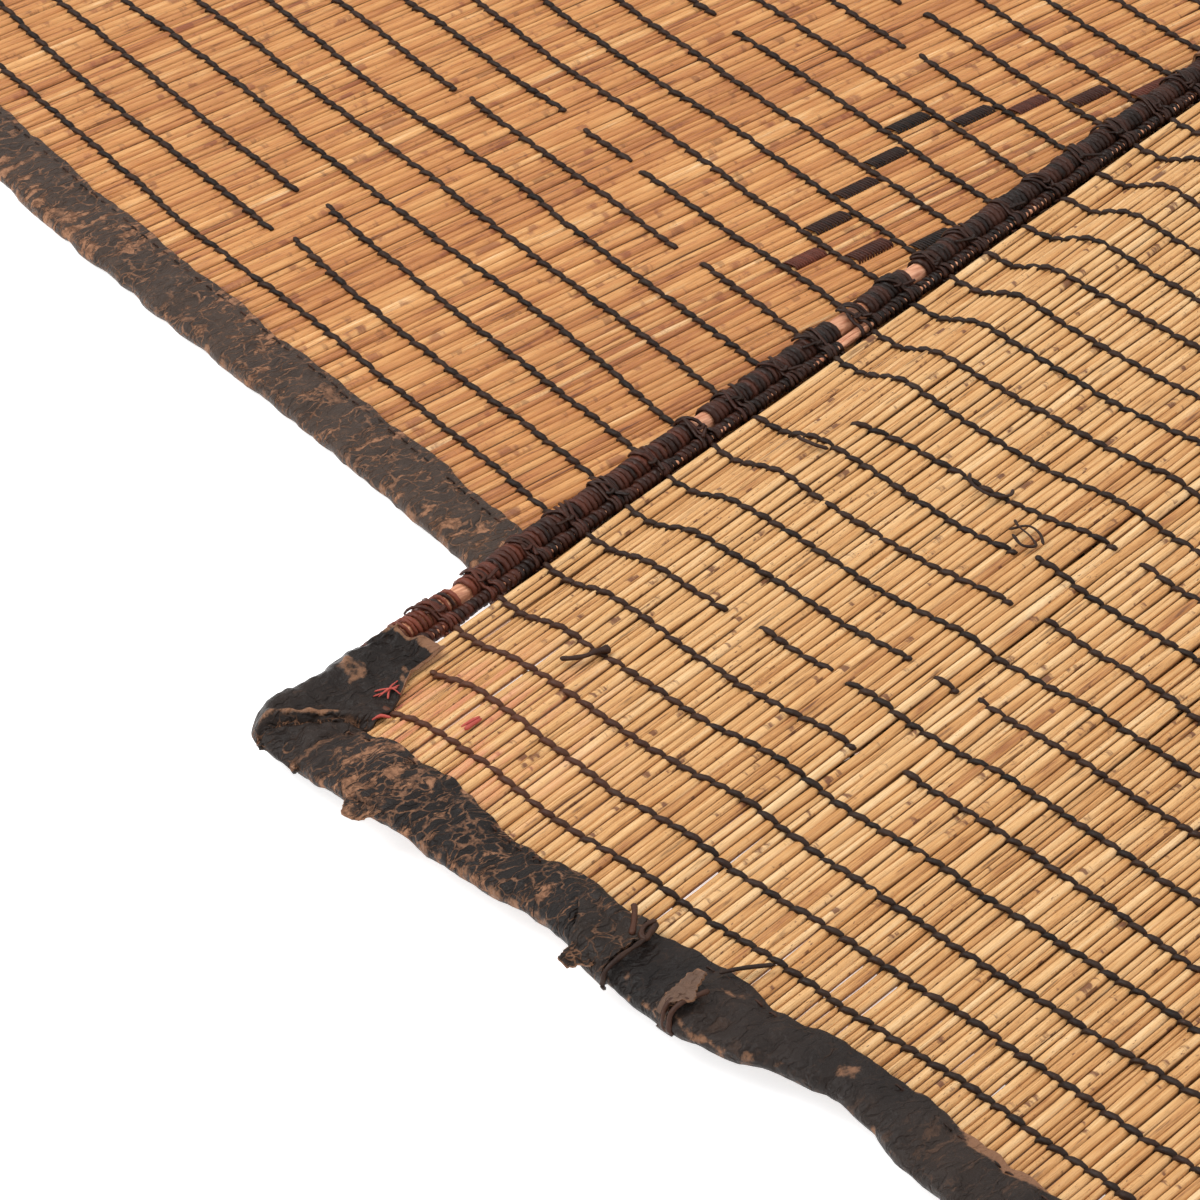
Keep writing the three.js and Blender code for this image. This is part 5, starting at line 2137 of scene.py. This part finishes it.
@dataclass
class Studio:
    """Floor, lights and camera."""

    eye: tuple[float, float, float] = (-1.1212, -1.1592, 1.093)
    pitch: float = 37.3
    heading: float = -37.87
    lens: float = 150.0
    sensor: float = 36.0
    clip_start: float = 0.05
    floor_size: float = 12.0
    floor_drop: float = 0.0004
    sky: tuple[float, float, float, float] = (1.0, 1.0, 1.0, 1.0)
    sky_strength: float = 0.75

    def build(self) -> None:
        """Set the studio up."""
        Bench.clear()
        bpy.ops.mesh.primitive_plane_add(size=self.floor_size, location=(0, 0, -self.floor_drop))
        floor = Bench.take("floor")
        floor.data.materials.append(FloorFinish().make())
        for light in LIGHTS:
            light.add()
        world = bpy.data.worlds.new("studio")
        bpy.context.scene.world = world
        world.use_nodes = True
        background = world.node_tree.nodes["Background"]
        background.inputs["Color"].default_value = self.sky
        background.inputs["Strength"].default_value = self.sky_strength
        bpy.context.scene.view_settings.view_transform = "Standard"
        bpy.ops.object.camera_add(
            location=self.eye, rotation=(math.radians(90 - self.pitch), 0, math.radians(self.heading))
        )
        camera = bpy.context.object
        camera.name = "camera"
        camera.data.lens = self.lens
        camera.data.sensor_width = self.sensor
        camera.data.clip_start = self.clip_start
        bpy.context.scene.camera = camera


FLAP_ROD_WRAPS = (
    Stretch(0.040, 0.102),
    Stretch(0.108, 0.236),
    Stretch(0.246, 0.322),
    Stretch(0.341, 0.368),
    Stretch(0.377, 0.606),
)
FLAP_BUNDLE_WRAPS = (Stretch(0.040, 0.318), Stretch(0.337, 0.606))
FAR_WRAPS = (Stretch(0.040, 0.606),)


def wrap_nodes(end: End, part: str, wraps: tuple[Stretch, ...]) -> list[str]:
    """Names of the solids of one rod's winding."""
    return [f"{end.name.lower()}_{part}_wrap_{number + 1}" for number in range(len(wraps))]


def main() -> None:
    """Build the mat piece by piece, dress it and set up the studio."""
    logging.basicConfig(level=logging.INFO, format="%(message)s")
    lie = MatLie(LIE, MAT_WIDTH)
    LOG.info("mat: %.3f m long, fold at %.3f m", lie.length, lie.fold)
    straw = ReedFinish().make()
    binding_leather = LeatherFinish("binding leather").make()
    cap_leather = LeatherFinish("cap leather").make()
    lacing_thong = ThongFinish("lacing thong", dark=paint(23, 15, 11), middle=paint(56, 40, 30)).make()
    wound_thong = ThongFinish(
        "wound thong", dark=paint(18, 10, 6), middle=paint(46, 28, 18), rubbed=paint(124, 62, 44),
        rough=0.28, gloss=0.22,
    ).make()
    wood = WoodFinish().make()
    patch_leather = LeatherFinish("patch leather", middle=paint(50, 40, 33)).make()
    tie_leather = LeatherFinish(
        "tie leather", dark=paint(66, 47, 37), middle=paint(108, 82, 66), scuff_dark=paint(80, 56, 42)
    ).make()
    pink_thread = ThongFinish(
        "pink thread", dark=paint(150, 50, 44), middle=paint(196, 84, 74), rubbed=paint(224, 150, 130)
    ).make()

    reeds = ReedField(lie)
    reed_piece = reeds.build()
    Bench.dress(reed_piece, straw, "reed_straw", "reed_field")
    lacing = Lacing(lie, reeds)
    for piece in lacing.build():
        Bench.dress(piece, lacing_thong, "wound_leather")
    dashes = Lozenge(lie, reeds, lacing).build()
    Bench.dress(dashes, wound_thong, "wound_leather")
    for side, step, around in ((Side.NEAR, 0.0026, 30), (Side.FAR, 0.005, 18)):
        binding = Binding(lie, side, step, around)
        piece = binding.build()
        Bench.dress(piece, binding_leather, "binding_leather", f"binding_{side.name.lower()}")
        stitches = binding.build_stitches()
        Bench.dress(stitches, lacing_thong, "wound_leather")
    for end, rod_wraps, bundle_wraps, steps in (
        (End.FLAP, FLAP_ROD_WRAPS, FLAP_BUNDLE_WRAPS, 12),
        (End.FAR, FAR_WRAPS, FAR_WRAPS, 9),
    ):
        pair = RodPair(lie, end, rod_wraps, bundle_wraps, steps)
        coils = pair.build_coils()
        solids = wrap_nodes(end, "rod", rod_wraps) + wrap_nodes(end, "bundle", bundle_wraps)
        Bench.dress(coils, wound_thong, "wound_leather", *solids)
        cores = pair.build_cores()
        Bench.dress(cores, wood, "rod_wood", f"{end.name.lower()}_rod", f"{end.name.lower()}_bundle")
        knots = pair.build_knots(lacing)
        Bench.dress(knots, wound_thong, "wound_leather")
        for side in Side:
            cap = CornerCap(end, side).build()
            Bench.dress(cap, cap_leather, "cap_leather", f"{end.name.lower()}_cap_{side.name.lower()}")
    patch = BindingStrip(
        lie, "patch_strip", PATCH_ROWS, leather=0.0013, along=24, around=60, scuff=0.45, raw=0.0, seed=131
    )
    tie = BindingStrip(
        lie, "tie_strip", TIE_ROWS, leather=0.0012, along=6, around=40, scuff=0.3, raw=0.1, seed=137
    )
    tail = BindingStrip(
        lie, "tie_tail_strip", TAIL_ROWS, leather=0.0011, along=12, around=40, scuff=0.2, raw=0.2, seed=139,
        ragged=0.0003,
    )
    for strip, finish, slot, node in (
        (patch, patch_leather, "patch_leather", "binding_patch"),
        (tie, patch_leather, "tie_leather", "binding_tie"),
        (tail, tie_leather, "tie_leather", "tie_tail"),
    ):
        piece = strip.build()
        Bench.dress(piece, finish, slot, node)
    for number, rows in enumerate(TAB_ROWS):
        tab = BindingStrip(
            lie, f"torn_tab_{number + 1}", rows, leather=0.0010, along=20, around=16, scuff=0.8, raw=0.25,
            seed=141 + number, ragged=0.0005, wraps=False,
        ).build()
        Bench.dress(tab, binding_leather, "binding_leather")
    loose = LooseEnds(lie, "loose_thongs", LOOSE_THONGS).build()
    Bench.dress(loose, lacing_thong, "wound_leather")
    pink = LooseEnds(lie, "pink_threads", PINK_THREADS).build()
    Bench.dress(pink, pink_thread, "wound_leather")
    Studio().build()


if __name__ == "__main__":
    main()
